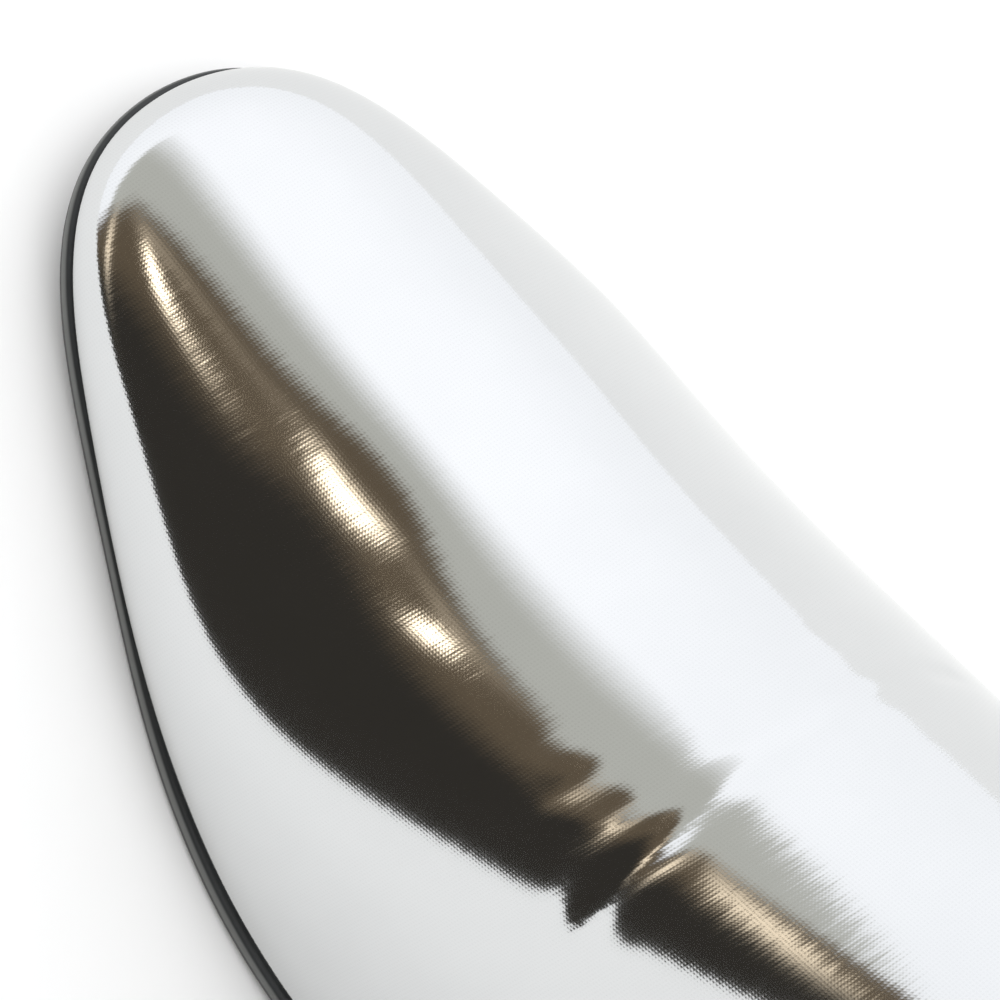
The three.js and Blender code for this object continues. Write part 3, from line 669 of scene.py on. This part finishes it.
def leather_sheet(skin, points, normal, mapped, outset, inset, rims):
    """Sheet with round edges between two depths; gives the point numbers of its two faces."""
    outer = points + normal * np.broadcast_to(outset, points.shape[:2])[..., None]
    inner = points - normal * np.broadcast_to(inset, points.shape[:2])[..., None]
    top = skin.grid(outer, mapped)
    low = skin.grid(inner, mapped, flip=True)
    runs = {
        "first_row": (0, slice(None), -1),
        "last_row": (-1, slice(None), 1),
        "first_column": (slice(None), 0, 1),
        "last_column": (slice(None), -1, -1),
    }
    for name, (row, column, order) in runs.items():
        if name not in rims:
            continue
        o, i = outer[row, column][::order], inner[row, column][::order]
        step = {
            "first_row": outer[0] - outer[1],
            "last_row": outer[-1] - outer[-2],
            "first_column": outer[:, 0] - outer[:, 1],
            "last_column": outer[:, -1] - outer[:, -2],
        }[name][::order]
        length = np.linalg.norm(step, axis=-1, keepdims=True)
        out = step / np.maximum(length, 1e-9) * np.minimum(1, length / 1e-3)
        rim(skin, o, i, top[row, column][::order], low[row, column][::order],
            mapped[row, column][::order], out * rims[name] * RIM_ROUND)
    return top, low


def front_points(drop, fine=1.0, extra=0.0, folds=True, roll=WELT_ROLL):
    """Points, normals and cloth map of the front, from its outer edge over the ridge to the inner one."""
    sides = []
    for side in (1, -1):
        distance, way = half_grid("front", side, drop, fine, extra)
        points = upper_point(distance, way, side, roll)
        sides.append((points, cloth_map(points, True), distance))
    outer, inner = sides
    points = np.concatenate([outer[0], inner[0][:, -2::-1]], axis=1)
    right = inner[1][:, -2::-1].copy()
    right[..., 0] *= -1
    mapped = np.concatenate([outer[1], right], axis=1)
    distance = np.concatenate([outer[2], inner[2][:, -2::-1]], axis=1)
    level = np.zeros(points.shape[:2], bool)
    level[:, 0] = level[:, -1] = True
    level &= distance <= TOE_X - SEAM_X
    normal = grid_normals(points, level)
    normal[0] = (1, 0, 0)
    if folds:
        points = points + normal * fold_lift(points)[..., None]
        normal = grid_normals(points, level)
        normal[0] = (1, 0, 0)
    return points, normal, mapped


def vamp():
    points, normal, mapped = front_points(LEATHER_DROP)
    skin = Skin()
    rims = {"last_row": 2.0, "first_column": 0.4, "last_column": 0.4}
    leather_sheet(skin, points, normal, mapped, 0, LEATHER, rims)
    skin.piece("vamp_leather", "boot", "foil_leather", ("vamp",))


def quarter(side):
    distance, way = half_grid("back", side, LEATHER_DROP)
    points = upper_point(distance, way, side)
    mapped = cloth_map(points, False) * (side, 1)
    at_back = distance >= FEATHER_LENGTH - 1e-6
    level = np.zeros(points.shape[:2], bool)
    level[:, 0] = distance[:, 0] < FEATHER_LENGTH - 1e-6
    upright = np.zeros(points.shape[:2], bool)
    upright[:, 0] = at_back[:, 0]
    normal = grid_normals(points, level, upright) * side
    normal[0] = normal[1]
    points[..., 1] = side * np.maximum(side * points[..., 1], SEAM_GAP)
    order = slice(None, None, side)
    points, normal, mapped = points[:, order], normal[:, order], mapped[:, order]
    skin = Skin()
    rims = {"last_row": 2.0, "first_column": 0.3, "last_column": 0.3}
    leather_sheet(skin, points, normal, mapped, 0, LEATHER, rims)
    name = "quarter_outer" if side > 0 else "quarter_inner"
    skin.piece(name + "_leather", "boot", "foil_leather", (name,))


def lining_depths(points):
    """Depths of the lining's two faces, which rise to meet the leather at the topline."""
    near = 1 - ease((topline(points[..., 0]) - points[..., 2]) / LINING_RISE)
    return [deep + (shallow - deep) * near for deep, shallow in zip(LINING_DEPTHS, LINING_DEPTHS_TOP)]


def front_lining():
    points, normal, mapped = front_points(LINING_DROP, LINING_FINE, LINING_EDGE, folds=False, roll=0)
    skin = Skin()
    rims = {"last_row": 0.8, "first_column": 0.4, "last_column": 0.4}
    near, far = lining_depths(points)
    leather_sheet(skin, points, normal, mapped, -near, far, rims)
    skin.piece("front_lining", "boot", "lining_leather", ("vamp_lining",))


def back_lining():
    skin = Skin()
    for side in (1, -1):
        distance, way = half_grid("back", side, LINING_DROP, LINING_FINE, LINING_EDGE)
        points = upper_point(distance, way, side, 0)
        mapped = cloth_map(points, False) * (side, 1)
        behind = distance[:, 0] >= FEATHER_LENGTH - 1e-6
        level = np.zeros(points.shape[:2], bool)
        level[:, 0] = ~behind
        upright = np.zeros(points.shape[:2], bool)
        upright[:, 0] = behind
        normal = grid_normals(points, level, upright) * side
        normal[0] = normal[1]
        seat = int(behind.argmax())
        normal[seat, 0] = (-1, 0, 0)
        order = slice(None, None, side)
        points, normal, mapped = points[:, order], normal[:, order], mapped[:, order]
        low, high = lining_depths(points)
        front = "last_column" if side > 0 else "first_column"
        rims = {"last_row": 0.8, front: 0.4}
        top, under = leather_sheet(skin, points, normal, mapped, -low, high, rims)
        column = 0 if side > 0 else -1
        run = slice(0, seat + 1)
        one, two = top[run, column], under[run, column]
        if side < 0:
            one, two = two, one
        skin.strip(one, two)
    skin.piece("back_lining", "boot", "lining_leather", ("quarter_lining",))


def inner_pad(name, slot, node, ends, inset, low, high, crown, columns=28):
    """Flat or crowned pad that follows the insole inside the upper's walls."""
    back, front = ends
    rows = 90
    x = (back + front) / 2 - (front - back) / 2 * np.cos(np.linspace(0, np.pi, rows))
    distance = TOE_X - x
    _, z_low, _, z_high = section_ends(distance)
    way = np.clip(high / np.maximum(z_high - z_low, 1e-6), 0, 0.9)
    wide = [upper_point(distance, way, side, 0)[:, 1] for side in (1, -1)]
    middle = (wide[0] + wide[1]) / 2
    half = (wide[0] - wide[1]) / 2 - inset
    round_off = np.sqrt(np.clip((x - back) / 24, 0, 1) * (2 - np.clip((x - back) / 24, 0, 1)))
    round_off *= np.sqrt(np.clip((front - x) / 14, 0, 1) * (2 - np.clip((front - x) / 14, 0, 1)))
    half = np.maximum(half, 0) * round_off
    across = -np.cos(np.linspace(0, np.pi, columns))
    y = middle[:, None] + half[:, None] * across[None, :]
    xs = np.repeat(x[:, None], columns, axis=1)
    swell = (1 - np.abs(across[None, :]) ** crown) * np.ones_like(y)
    ends_in = np.clip(np.minimum(x - back, front - x) / (high - low) / 1.2, 0, 1)
    swell *= np.sqrt(ends_in * (2 - ends_in))[:, None]
    floor_z = feather_z(xs) + low
    skin = Skin()
    mapped = np.stack([y, xs], -1)
    skin.grid(np.stack([xs, y, floor_z + (high - low) * swell], -1), mapped)
    skin.grid(np.stack([xs, y, floor_z], -1), mapped, flip=True)
    return skin.piece(name, "boot", slot, (node,), turn=True)


def plan_edge(distance, side, margin):
    """Feather line in plan, moved outwards by a margin."""
    line = upper_point(distance, np.zeros_like(distance), side, 0)[:, :2]
    along = np.gradient(line, axis=0)
    along[0] = (0, side)
    along[-1] = (0, -side)
    along /= np.linalg.norm(along, axis=1, keepdims=True)
    out = np.stack([along[:, 1], -along[:, 0]], 1) * side
    return line + out * margin


def outsole():
    """Thin sole: a bevelled upper edge, an upright band and a rounded lower edge."""
    count = 190
    distance = FEATHER_LENGTH * (1 - np.cos(np.linspace(0, np.pi, count))) / 2
    profile = [(-1.2, 0.02), (0.15, 0.03), (0.5, 0.12), (0.8, 0.40), (0.92, 0.75), (0.95, 1.2),
               (0.95, 2.0), (0.85, 2.6), (0.55, 3.1), (0.1, 3.4), (-0.6, 3.5)]
    edges = {side: [plan_edge(distance, side, margin) for margin, _ in profile] for side in (1, -1)}

    def level(edge, depth):
        x = edge[:, 0]
        thick = WAIST_THICKNESS + (SOLE_THICKNESS - WAIST_THICKNESS) * ease((x - 40) / 70)
        z = feather_z(np.clip(x, HEEL_X, TOE_X)) - thick * depth / SOLE_THICKNESS - 0.02
        return np.column_stack([edge, z])
    left = [level(e, d) for e, (_, d) in zip(edges[1], profile)]
    right = [level(e, d) for e, (_, d) in zip(edges[-1], profile)]
    bands = 8
    under = [left[-1] + (right[-1] - left[-1]) * k / bands for k in range(1, bands)]
    over = [right[0] + (left[0] - right[0]) * k / bands for k in range(1, bands)]
    ring = left + under + right[::-1] + over + [left[0]]
    depths = [d for _, d in profile]
    depths = depths + [3.5] * (bands - 1) + depths[::-1] + [0.0] * (bands - 1) + [depths[0]]
    points = np.stack(ring, axis=1)
    mapped = np.stack([np.repeat(distance[:, None], points.shape[1], axis=1),
                       np.repeat(np.array(depths)[None, :], count, axis=0)], -1)
    skin = Skin()
    skin.grid(points, mapped)
    skin.piece("sole", "boot", "sole_rubber", ("outsole",), weld=2e-5, turn=True, angle=50)


def covered_heel():
    """Block heel: rings from the seat's outline down to the tread, with a hollowed breast."""
    count, levels, breast = 96, 34, 14
    distance = np.linspace(TOE_X - BREAST_X - 4, FEATHER_LENGTH, 400)
    distance = FEATHER_LENGTH - (FEATHER_LENGTH - distance[0]) * (1 - np.linspace(0, 1, 400)) ** 2
    outer = plan_edge(distance, 1, -0.4)
    inner = plan_edge(distance, -1, -0.4)
    path = np.vstack([outer, inner[::-1]])
    path = path[path[:, 0] <= BREAST_X]
    steps = np.concatenate([[0], np.cumsum(np.linalg.norm(np.diff(path, axis=0), axis=1))])
    goal = np.linspace(0, steps[-1], count)
    seat = np.column_stack([np.interp(goal, steps, path[:, 0]), np.interp(goal, steps, path[:, 1])])
    low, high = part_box("heel_top_piece")
    back, front, half = low.x / MM + 0.4, high.x / MM - 0.4, high.y / MM - 0.4
    t = np.linspace(-1, 1, count)
    angle = t * np.pi / 2
    tread = np.column_stack([
        back + (front - back) * (1 - np.cos(angle) ** 0.62),
        -half * np.abs(np.sin(angle)) ** 0.75 * np.sign(t),
    ])
    tread[0], tread[-1] = (front, half), (front, -half)
    foot = high.z / MM + 0.3
    rings = []
    for k in range(levels + 1):
        fall = k / levels
        pull = fall ** 0.62
        ring = seat + (tread - seat) * pull
        face = np.linspace(ring[-1], ring[0], breast + 2)[1:-1]
        face[:, 0] -= 1.6 * np.sin(np.linspace(0, np.pi, breast + 2)[1:-1]) * math.sin(math.pi * fall)
        ring = np.vstack([ring, face, ring[:1]])
        top = feather_z(ring[:, 0]) - WAIST_THICKNESS - 0.3
        rings.append(np.column_stack([ring, top + (foot - top) * fall]))
    points = np.stack(rings)
    skin = Skin()
    index = skin.grid(points)
    for row in (0, -1):
        skin.faces.append([int(i) for i in index[row, :-1]][::-1 if row == 0 else 1])
    skin.piece("covered_heel", "boot", "wrapped_heel", ("heel_block",), turn=True, angle=42)


def from_frame(name, node, body, slot, bevel):
    """A made piece in the shape of a frame part, its edges rounded."""
    mesh = frame["nodes"][node].data.copy()
    made = bpy.data.objects.new(name, mesh)
    bpy.context.scene.collection.objects.link(made)
    work = bmesh.new()
    work.from_mesh(mesh)
    bmesh.ops.remove_doubles(work, verts=work.verts, dist=2e-6)
    bmesh.ops.dissolve_limit(work, angle_limit=math.radians(2), verts=work.verts, edges=work.edges)
    work.to_mesh(mesh)
    work.free()
    only(made)
    rounding = made.modifiers.new("rounding", "BEVEL")
    rounding.width = bevel * MM
    rounding.segments = 3
    rounding.limit_method = "ANGLE"
    rounding.angle_limit = math.radians(28)
    rounding.use_clamp_overlap = True
    bpy.ops.object.modifier_apply(modifier="rounding")
    bpy.ops.object.shade_smooth_by_angle(angle=math.radians(35))
    settle(made, body, slot, (node,))


def back_strip():
    """Narrow strip over the back seam, thinned at its edges."""
    base = np.linspace(FEATHER_LENGTH + 4.5, 378, 110)
    q = np.linspace(0, 1, 13)
    ends = end_at_topline(lambda d: np.zeros_like(d), 0.9, 1)[0]
    rows = base[0] + (base - base[0]) * (ends - base[0]) / (base[-1] - base[0])
    low, high = np.zeros(len(rows)), np.full(len(rows), 0.5)
    for _ in range(40):
        middle = (low + high) / 2
        wide = upper_point(rows, middle, 1, 0)[:, 1] > STRIP_HALF
        high, low = np.where(wide, middle, high), np.where(wide, low, middle)
    distance = np.repeat(rows[:, None], len(q), axis=1)
    way = low[:, None] * q[None, :] ** 2
    sides = [upper_point(distance, way, side, 0) for side in (1, -1)]
    points = np.concatenate([sides[0][:, ::-1], sides[1][:, 1:]], axis=1)
    reach = np.concatenate([q[::-1], q[1:]])
    none = np.zeros(points.shape[:2], bool)
    normal = -grid_normals(points, none)
    thick = 0.32 + 0.95 * (1 - reach ** 8)[None, :] * np.ones(points.shape[:2])
    skin = Skin()
    run = np.repeat(rows[:, None], len(reach), axis=1)
    mapped = np.stack([np.repeat((reach * STRIP_HALF)[None, :], len(rows), 0), run], -1)
    rims = {"last_row": 0.5, "first_row": 0.5, "first_column": 0.3, "last_column": 0.3}
    leather_sheet(skin, points, normal, mapped, thick, -0.25 * np.ones(points.shape[:2]), rims)
    skin.piece("back_strip_leather", "boot", "foil_leather", ("back_strip",), turn=True)


# ---------------------------------------------------------------- zip
joints = {joint["name"]: joint for joint in frame["joints"]}
ZIP_UP = -np.array(joints["zip_slide"]["axis"], float)
ZIP_IN = np.array([0.0, ZIP_UP[2], -ZIP_UP[1]])
ZIP_LENGTH = 83.62
CHAIN_START = 3.0
CHAIN_END = ZIP_LENGTH - 4.0
PULL_PIVOT = np.array(joints["zip_pull_hinge"]["pos_m"], float) / MM
ZIP_FOOT = PULL_PIVOT + 3.05 * ZIP_IN - (CHAIN_END - 5.6) * ZIP_UP
TOOTH_PITCH = 2.1


def zip_place(points):
    """Points from the zip's frame, where x runs across, y inwards and z up, to the boot's."""
    points = np.asarray(points, float)
    return ZIP_FOOT + points[..., :1] * (1, 0, 0) + points[..., 1:2] * ZIP_IN + points[..., 2:] * ZIP_UP


def tooth():
    """One tooth: a clamp round the tape's bead and a nose with a dimple, in the zip's frame."""
    bpy.ops.object.select_all(action="DESELECT")
    bpy.ops.mesh.primitive_cube_add(size=1, location=(1.55, 0.5, 0.55))
    made = bpy.context.object
    made.scale = (2.0, 1.75, 1.05)
    bpy.ops.object.transform_apply(location=True, scale=True)
    bpy.ops.object.mode_set(mode="EDIT")
    work = bmesh.from_edit_mesh(made.data)
    for face in work.faces:
        face.select_set(face.normal.x < -0.9)
    bmesh.update_edit_mesh(made.data)
    bpy.ops.mesh.inset(thickness=0.22, depth=0)
    bpy.ops.mesh.extrude_region_move(TRANSFORM_OT_translate={"value": (-0.22, 0, 0)})
    bpy.ops.mesh.select_all(action="DESELECT")
    work = bmesh.from_edit_mesh(made.data)
    for face in work.faces:
        face.select_set(face.normal.y < -0.9)
    bmesh.update_edit_mesh(made.data)
    bpy.ops.mesh.inset(thickness=0.25, depth=0.12)
    bpy.ops.object.mode_set(mode="OBJECT")
    points = np.array([v.co[:] for v in made.data.vertices])
    faces = [list(f.vertices) for f in made.data.polygons]
    bpy.data.objects.remove(made)
    return points, faces


def zip_teeth():
    points, faces = tooth()
    count = int((CHAIN_END - CHAIN_START) / TOOTH_PITCH)
    for side, name, node in ((1, "zip_teeth_front_row", "zip_teeth_front"),
                             (-1, "zip_teeth_back_row", "zip_teeth_back")):
        skin = Skin()
        for k in range(count):
            step = CHAIN_START + TOOTH_PITCH * k + (0.35 if side > 0 else 1.2)
            moved = points * (side, 1, 1) + (0, 0, step)
            first = skin.add(zip_place(moved))
            for face in faces:
                skin.faces.append([first + i for i in (face if side > 0 else face[::-1])])
        skin.piece(name, "boot", "zip_metal", (node,), smooth=False)


# ---------------------------------------------------------------- stitches
STITCH_LENGTH = 2.1
STITCH_PITCH = 2.8


def stitch():
    """One stitch: a plump thread that dips at both ends, along x."""
    bpy.ops.object.select_all(action="DESELECT")
    lying = (0, math.pi / 2, 0)
    bpy.ops.mesh.primitive_cylinder_add(vertices=6, radius=0.24, depth=STITCH_LENGTH, rotation=lying)
    made = bpy.context.object
    bpy.ops.object.transform_apply(location=True, rotation=True, scale=True)
    bpy.ops.object.mode_set(mode="EDIT")
    bpy.ops.mesh.select_all(action="SELECT")
    bpy.ops.mesh.bisect(plane_co=(-0.5, 0, 0), plane_no=(1, 0, 0))
    bpy.ops.mesh.select_all(action="SELECT")
    bpy.ops.mesh.bisect(plane_co=(0.5, 0, 0), plane_no=(1, 0, 0))
    bpy.ops.object.mode_set(mode="OBJECT")
    points = np.array([v.co[:] for v in made.data.vertices])
    ends = np.abs(points[:, 0]) > 0.9 * STITCH_LENGTH / 2
    points[ends, 1:] *= 0.5
    points[ends, 2] -= 0.18
    points[:, 2] += 0.10
    faces = [list(f.vertices) for f in made.data.polygons]
    bpy.data.objects.remove(made)
    return points, faces


def stitch_row(name, lines):
    """Stitches along lines over the upper; a line is distance, way, side and lift."""
    points, faces = stitch()
    skin = Skin()
    for distance, way, side, lift in lines:
        line = upper_point(distance, way, side, 0)
        ahead = upper_point(distance + 0.05, way, side, 0) - upper_point(distance - 0.05, way, side, 0)
        inner_way = np.clip(way + 0.002, 0, 1)
        across = upper_point(distance, inner_way, side, 0) - line
        normal = np.cross(ahead, across) * side
        normal /= np.linalg.norm(normal, axis=1, keepdims=True)
        steps = np.concatenate([[0], np.cumsum(np.linalg.norm(np.diff(line, axis=0), axis=1))])
        goals = np.arange(STITCH_PITCH, steps[-1] - STITCH_PITCH / 2, STITCH_PITCH)

        def pick(values, at, steps=steps):
            return np.column_stack([np.interp(at, steps, values[:, k]) for k in range(3)])
        centre, up = pick(line, goals), pick(normal, goals)
        along = pick(line, goals + 0.4) - pick(line, goals - 0.4)
        along /= np.linalg.norm(along, axis=1, keepdims=True)
        up /= np.linalg.norm(up, axis=1, keepdims=True)
        beside = np.cross(up, along)
        for c, a, s, u in zip(centre, along, beside, up):
            first = skin.add(c + u * lift + points[:, :1] * a + points[:, 1:2] * s + points[:, 2:] * u)
            skin.faces += [[first + i for i in face] for face in faces]
    skin.piece(name, "boot", "foil_leather", finish=THREAD)


def upright_line(x, side, low_z):
    """Line up the upper at a fixed x, from a height to just below the topline."""
    distance = np.linspace(209, 384, 900)
    way = way_at_x(distance, lambda z: x)
    points = upper_point(distance, way, side, 0)
    keep = (points[:, 2] > low_z) & (points[:, 2] < topline(points[:, 0]) - 1.5)
    return distance[keep], way[keep], side, 0.0


def topline_line(part, side, drop):
    q = np.linspace(0.01, 1, 200)
    edge = seam_edge(part == "front", side < 0, 2.2)
    if part == "front":
        def way_of(distance):
            start = way_at_x(distance, edge)
            return start + (1 - start) * np.sin(q * np.pi / 2)
    else:
        def way_of(distance):
            return way_at_x(distance, edge) * (1 - np.cos((0.12 + 0.88 * q) * np.pi / 2))
    ends = end_at_topline(way_of, drop, len(q))
    return ends, way_of(ends), side, 0.0


def strip_line(side):
    distance = np.linspace(262, 376, 500)
    low, high = np.zeros(500), np.full(500, 0.5)
    for _ in range(40):
        middle = (low + high) / 2
        wide = upper_point(distance, middle, 1, 0)[:, 1] > STRIP_STITCH
        high, low = np.where(wide, middle, high), np.where(wide, low, middle)
    return distance, low, side, 1.2


vamp()
quarter(1)
quarter(-1)
front_lining()
back_lining()
inner_pad("sock", "lining_leather", "sock_lining", (-23.5, 212), 5.2, 4.6, 5.6, 24)
cushion = inner_pad("heel_cushion", "foam_pad", "heel_pad", (-20, 42), 8.6, 5.9, 9.2, 3)
outsole()
covered_heel()
back_strip()
from_frame("tread", "heel_top_piece", "boot", "tread_rubber", 0.5)
from_frame("zip_tape_front_web", "zip_tape_front", "boot", "zip_tape", 0.15)
from_frame("zip_tape_back_web", "zip_tape_back", "boot", "zip_tape", 0.15)
from_frame("zip_flap", "zip_guard", "boot", "lining_leather", 0.3)
for stop in ("zip_stop_top_front", "zip_stop_top_back", "zip_stop_bottom"):
    from_frame(stop + "_clip", stop, "boot", "zip_metal", 0.3)
zip_teeth()
from_frame("slider", "zip_slider", "slider", "slider_metal", 0.14)
from_frame("pull_tab", "zip_pull", "pull", "slider_metal", 0.2)
seam_lines = [upright_line(SEAM_X - back, 1, SEAM_STITCH_FOOT) for back in SEAM_STITCHES]
zip_lines = [upright_line(SEAM_X + sign * ZIP_STITCHES, -1, ZIP_STITCH_FOOT) for sign in (-1, 1)]
stitch_row("side_seam_stitches", seam_lines + zip_lines[:1])
stitch_row("zip_front_stitches", zip_lines[1:])
stitch_row("topline_stitches", [topline_line(part, side, TOPLINE_STITCH_DROP)
                                for part in ("front", "back") for side in (1, -1)])
stitch_row("back_strip_stitches", [strip_line(1), strip_line(-1)])

# ---------------------------------------------------------------- camera, floor and light
CAMERA_PLACE = Vector((0.160, 0.195, 0.4635))
CAMERA_AIM = Vector((0.1607, -0.0035, 0.0264))
CAMERA_UP = Vector((0.861, -0.471, 0.192))
CAMERA_LENS = 141.5


def camera():
    data = bpy.data.cameras.new("camera")
    data.lens = CAMERA_LENS
    data.sensor_width = 36
    data.clip_start = 0.01
    made = bpy.data.objects.new("camera", data)
    bpy.context.scene.collection.objects.link(made)
    look = (CAMERA_AIM - CAMERA_PLACE).normalized()
    right = look.cross(CAMERA_UP).normalized()
    up = right.cross(look)
    turn = Matrix((right, up, -look)).transposed().to_4x4()
    made.matrix_world = Matrix.Translation(CAMERA_PLACE) @ turn
    bpy.context.scene.camera = made


def floor():
    """White floor, which the leather mirrors a little darker and greyer far behind the heel: painted shade in the
    floor's colour for glossy rays only.
    """
    bpy.ops.mesh.primitive_plane_add(size=30, location=(0.1, 0, 0))
    made = bpy.context.object
    made.name = "floor"
    m = material("white_floor")
    place = m.place()
    grain = m.noise(place, 40.0, 2.0, 0.5)
    behind = m.parts(place)[0] * -1
    mirrored = m.node("ShaderNodeLightPath", out="Is Glossy Ray")
    near = m.mix(grain, (0.90, 0.90, 0.90, 1), (0.93, 0.93, 0.93, 1))
    # Painted shade: the floor's colour for glossy rays, darker than the camera sees it and falling to grey far
    # behind the heel.
    mirrored_shade = m.mix(behind.between(0.1, 1.3), (0.80, 0.80, 0.785, 1), (0.20, 0.20, 0.21, 1))
    colour = m.mix(mirrored, near, mirrored_shade)
    made.data.materials.append(m.surface(Base_Color=colour, Roughness=0.9, Specular_IOR_Level=0.0))


def sky_lamp():
    """Wide soft light from above, which no polished face mirrors."""
    data = bpy.data.lights.new("sky_lamp", "SUN")
    data.energy = 1.4
    data.angle = math.radians(75)
    made = bpy.data.objects.new("sky_lamp", data)
    bpy.context.scene.collection.objects.link(made)
    made.rotation_euler = (math.radians(-8), math.radians(10), 0)
    made.visible_glossy = False


def glow(azimuth, height, lamp, size, slant):
    """Soft oval patch of light round a direction, in degrees, falling by slant to one side."""
    aside = azimuth - lamp[0]
    across = aside / size[0]
    over = (height + aside * slant - lamp[1]) / size[1]
    return (across * across + over * over).call("MULTIPLY", -1).call("EXPONENT")


# Lamps in the unlit room: azimuth and height, half-sizes, slant, strength.
LAMPS = [
    ((37.7, 26.5), (2.5, 0.9), 0.25, 5.0),
    ((39.6, 36.2), (4.0, 1.1), 0.25, 4.8),
    ((32.5, 29.0), (1.8, 4.5), 0.0, 0.26),
    ((40.0, 10.7), (5.0, 1.4), 0.73, 1.3),
]
LAMP_COLOUR = (1.0, 0.84, 0.62)


def studio():
    """White studio with an unlit room beyond its open side, in which warm lamps stand."""
    world = bpy.data.worlds.new("studio")
    bpy.context.scene.world = world
    w = Finish(world)
    x, y, z = w.parts(w.place("Generated"))
    azimuth = w.node("ShaderNodeMath", {"operation": "ARCTAN2"}, {0: y, 1: x}) * (180 / math.pi)
    height = z.call("ARCSINE") * (180 / math.pi)
    ragged = w.noise(w.place("Generated"), 3.0, 3.0, 0.6)
    edge = azimuth + (ragged - 0.5) * 6
    doorway = edge + height * 0.33
    room = doorway.between(35, 40) * (1 - azimuth.between(140, 165)) * (1 - height.between(58, 72))
    depth = azimuth.between(40, 48)
    wing = edge.between(-4, 17) * (1 - azimuth.between(150, 175)) * (1 - height.between(62, 76))
    wing = wing * (height + azimuth * 0.45).between(23.5, 26.5)
    far_side = 1 - azimuth.between(-125, -98)
    white = w.mix(height.between(-5, 45), (1.12, 1.135, 1.15, 1), (1.25, 1.26, 1.28, 1))
    wall = w.mix(height.between(-4, 38), (0.20, 0.205, 0.215, 1), (1.30, 1.31, 1.33, 1))
    flags = (1 - azimuth.between(-128, -118)) * azimuth.between(-150, -140) * (1 - height.between(30, 44))
    wall = w.mix(flags, wall, (0.05, 0.05, 0.055, 1))
    colour = w.mix(far_side, white, wall)
    colour = w.mix(wing, colour, (0.54, 0.54, 0.49, 1))
    brown = w.mix(depth, (0.125, 0.095, 0.062, 1), (0.034, 0.031, 0.026, 1))
    colour = w.mix(room, colour, brown)
    total = None
    for place, size, slant, power in LAMPS:
        one = glow(azimuth, height, place, size, slant) * power
        total = one if total is None else total + one
    warm = w.node("ShaderNodeVectorMath", {"operation": "SCALE"}, {0: LAMP_COLOUR, 3: total})
    lit = w.node("ShaderNodeVectorMath", {"operation": "ADD"}, {0: colour, 1: warm})
    seen = w.node("ShaderNodeLightPath", out="Is Camera Ray")
    final = w.mix(seen, lit, (1.0, 1.0, 1.0, 1))
    back = w.tree.nodes.new("ShaderNodeBackground")
    w.tree.links.new(final.socket, back.inputs[0])
    output = w.tree.nodes.new("ShaderNodeOutputWorld")
    w.tree.links.new(back.outputs[0], output.inputs[0])


camera()
floor()
studio()
sky_lamp()
bpy.context.scene.view_settings.view_transform = "Standard"
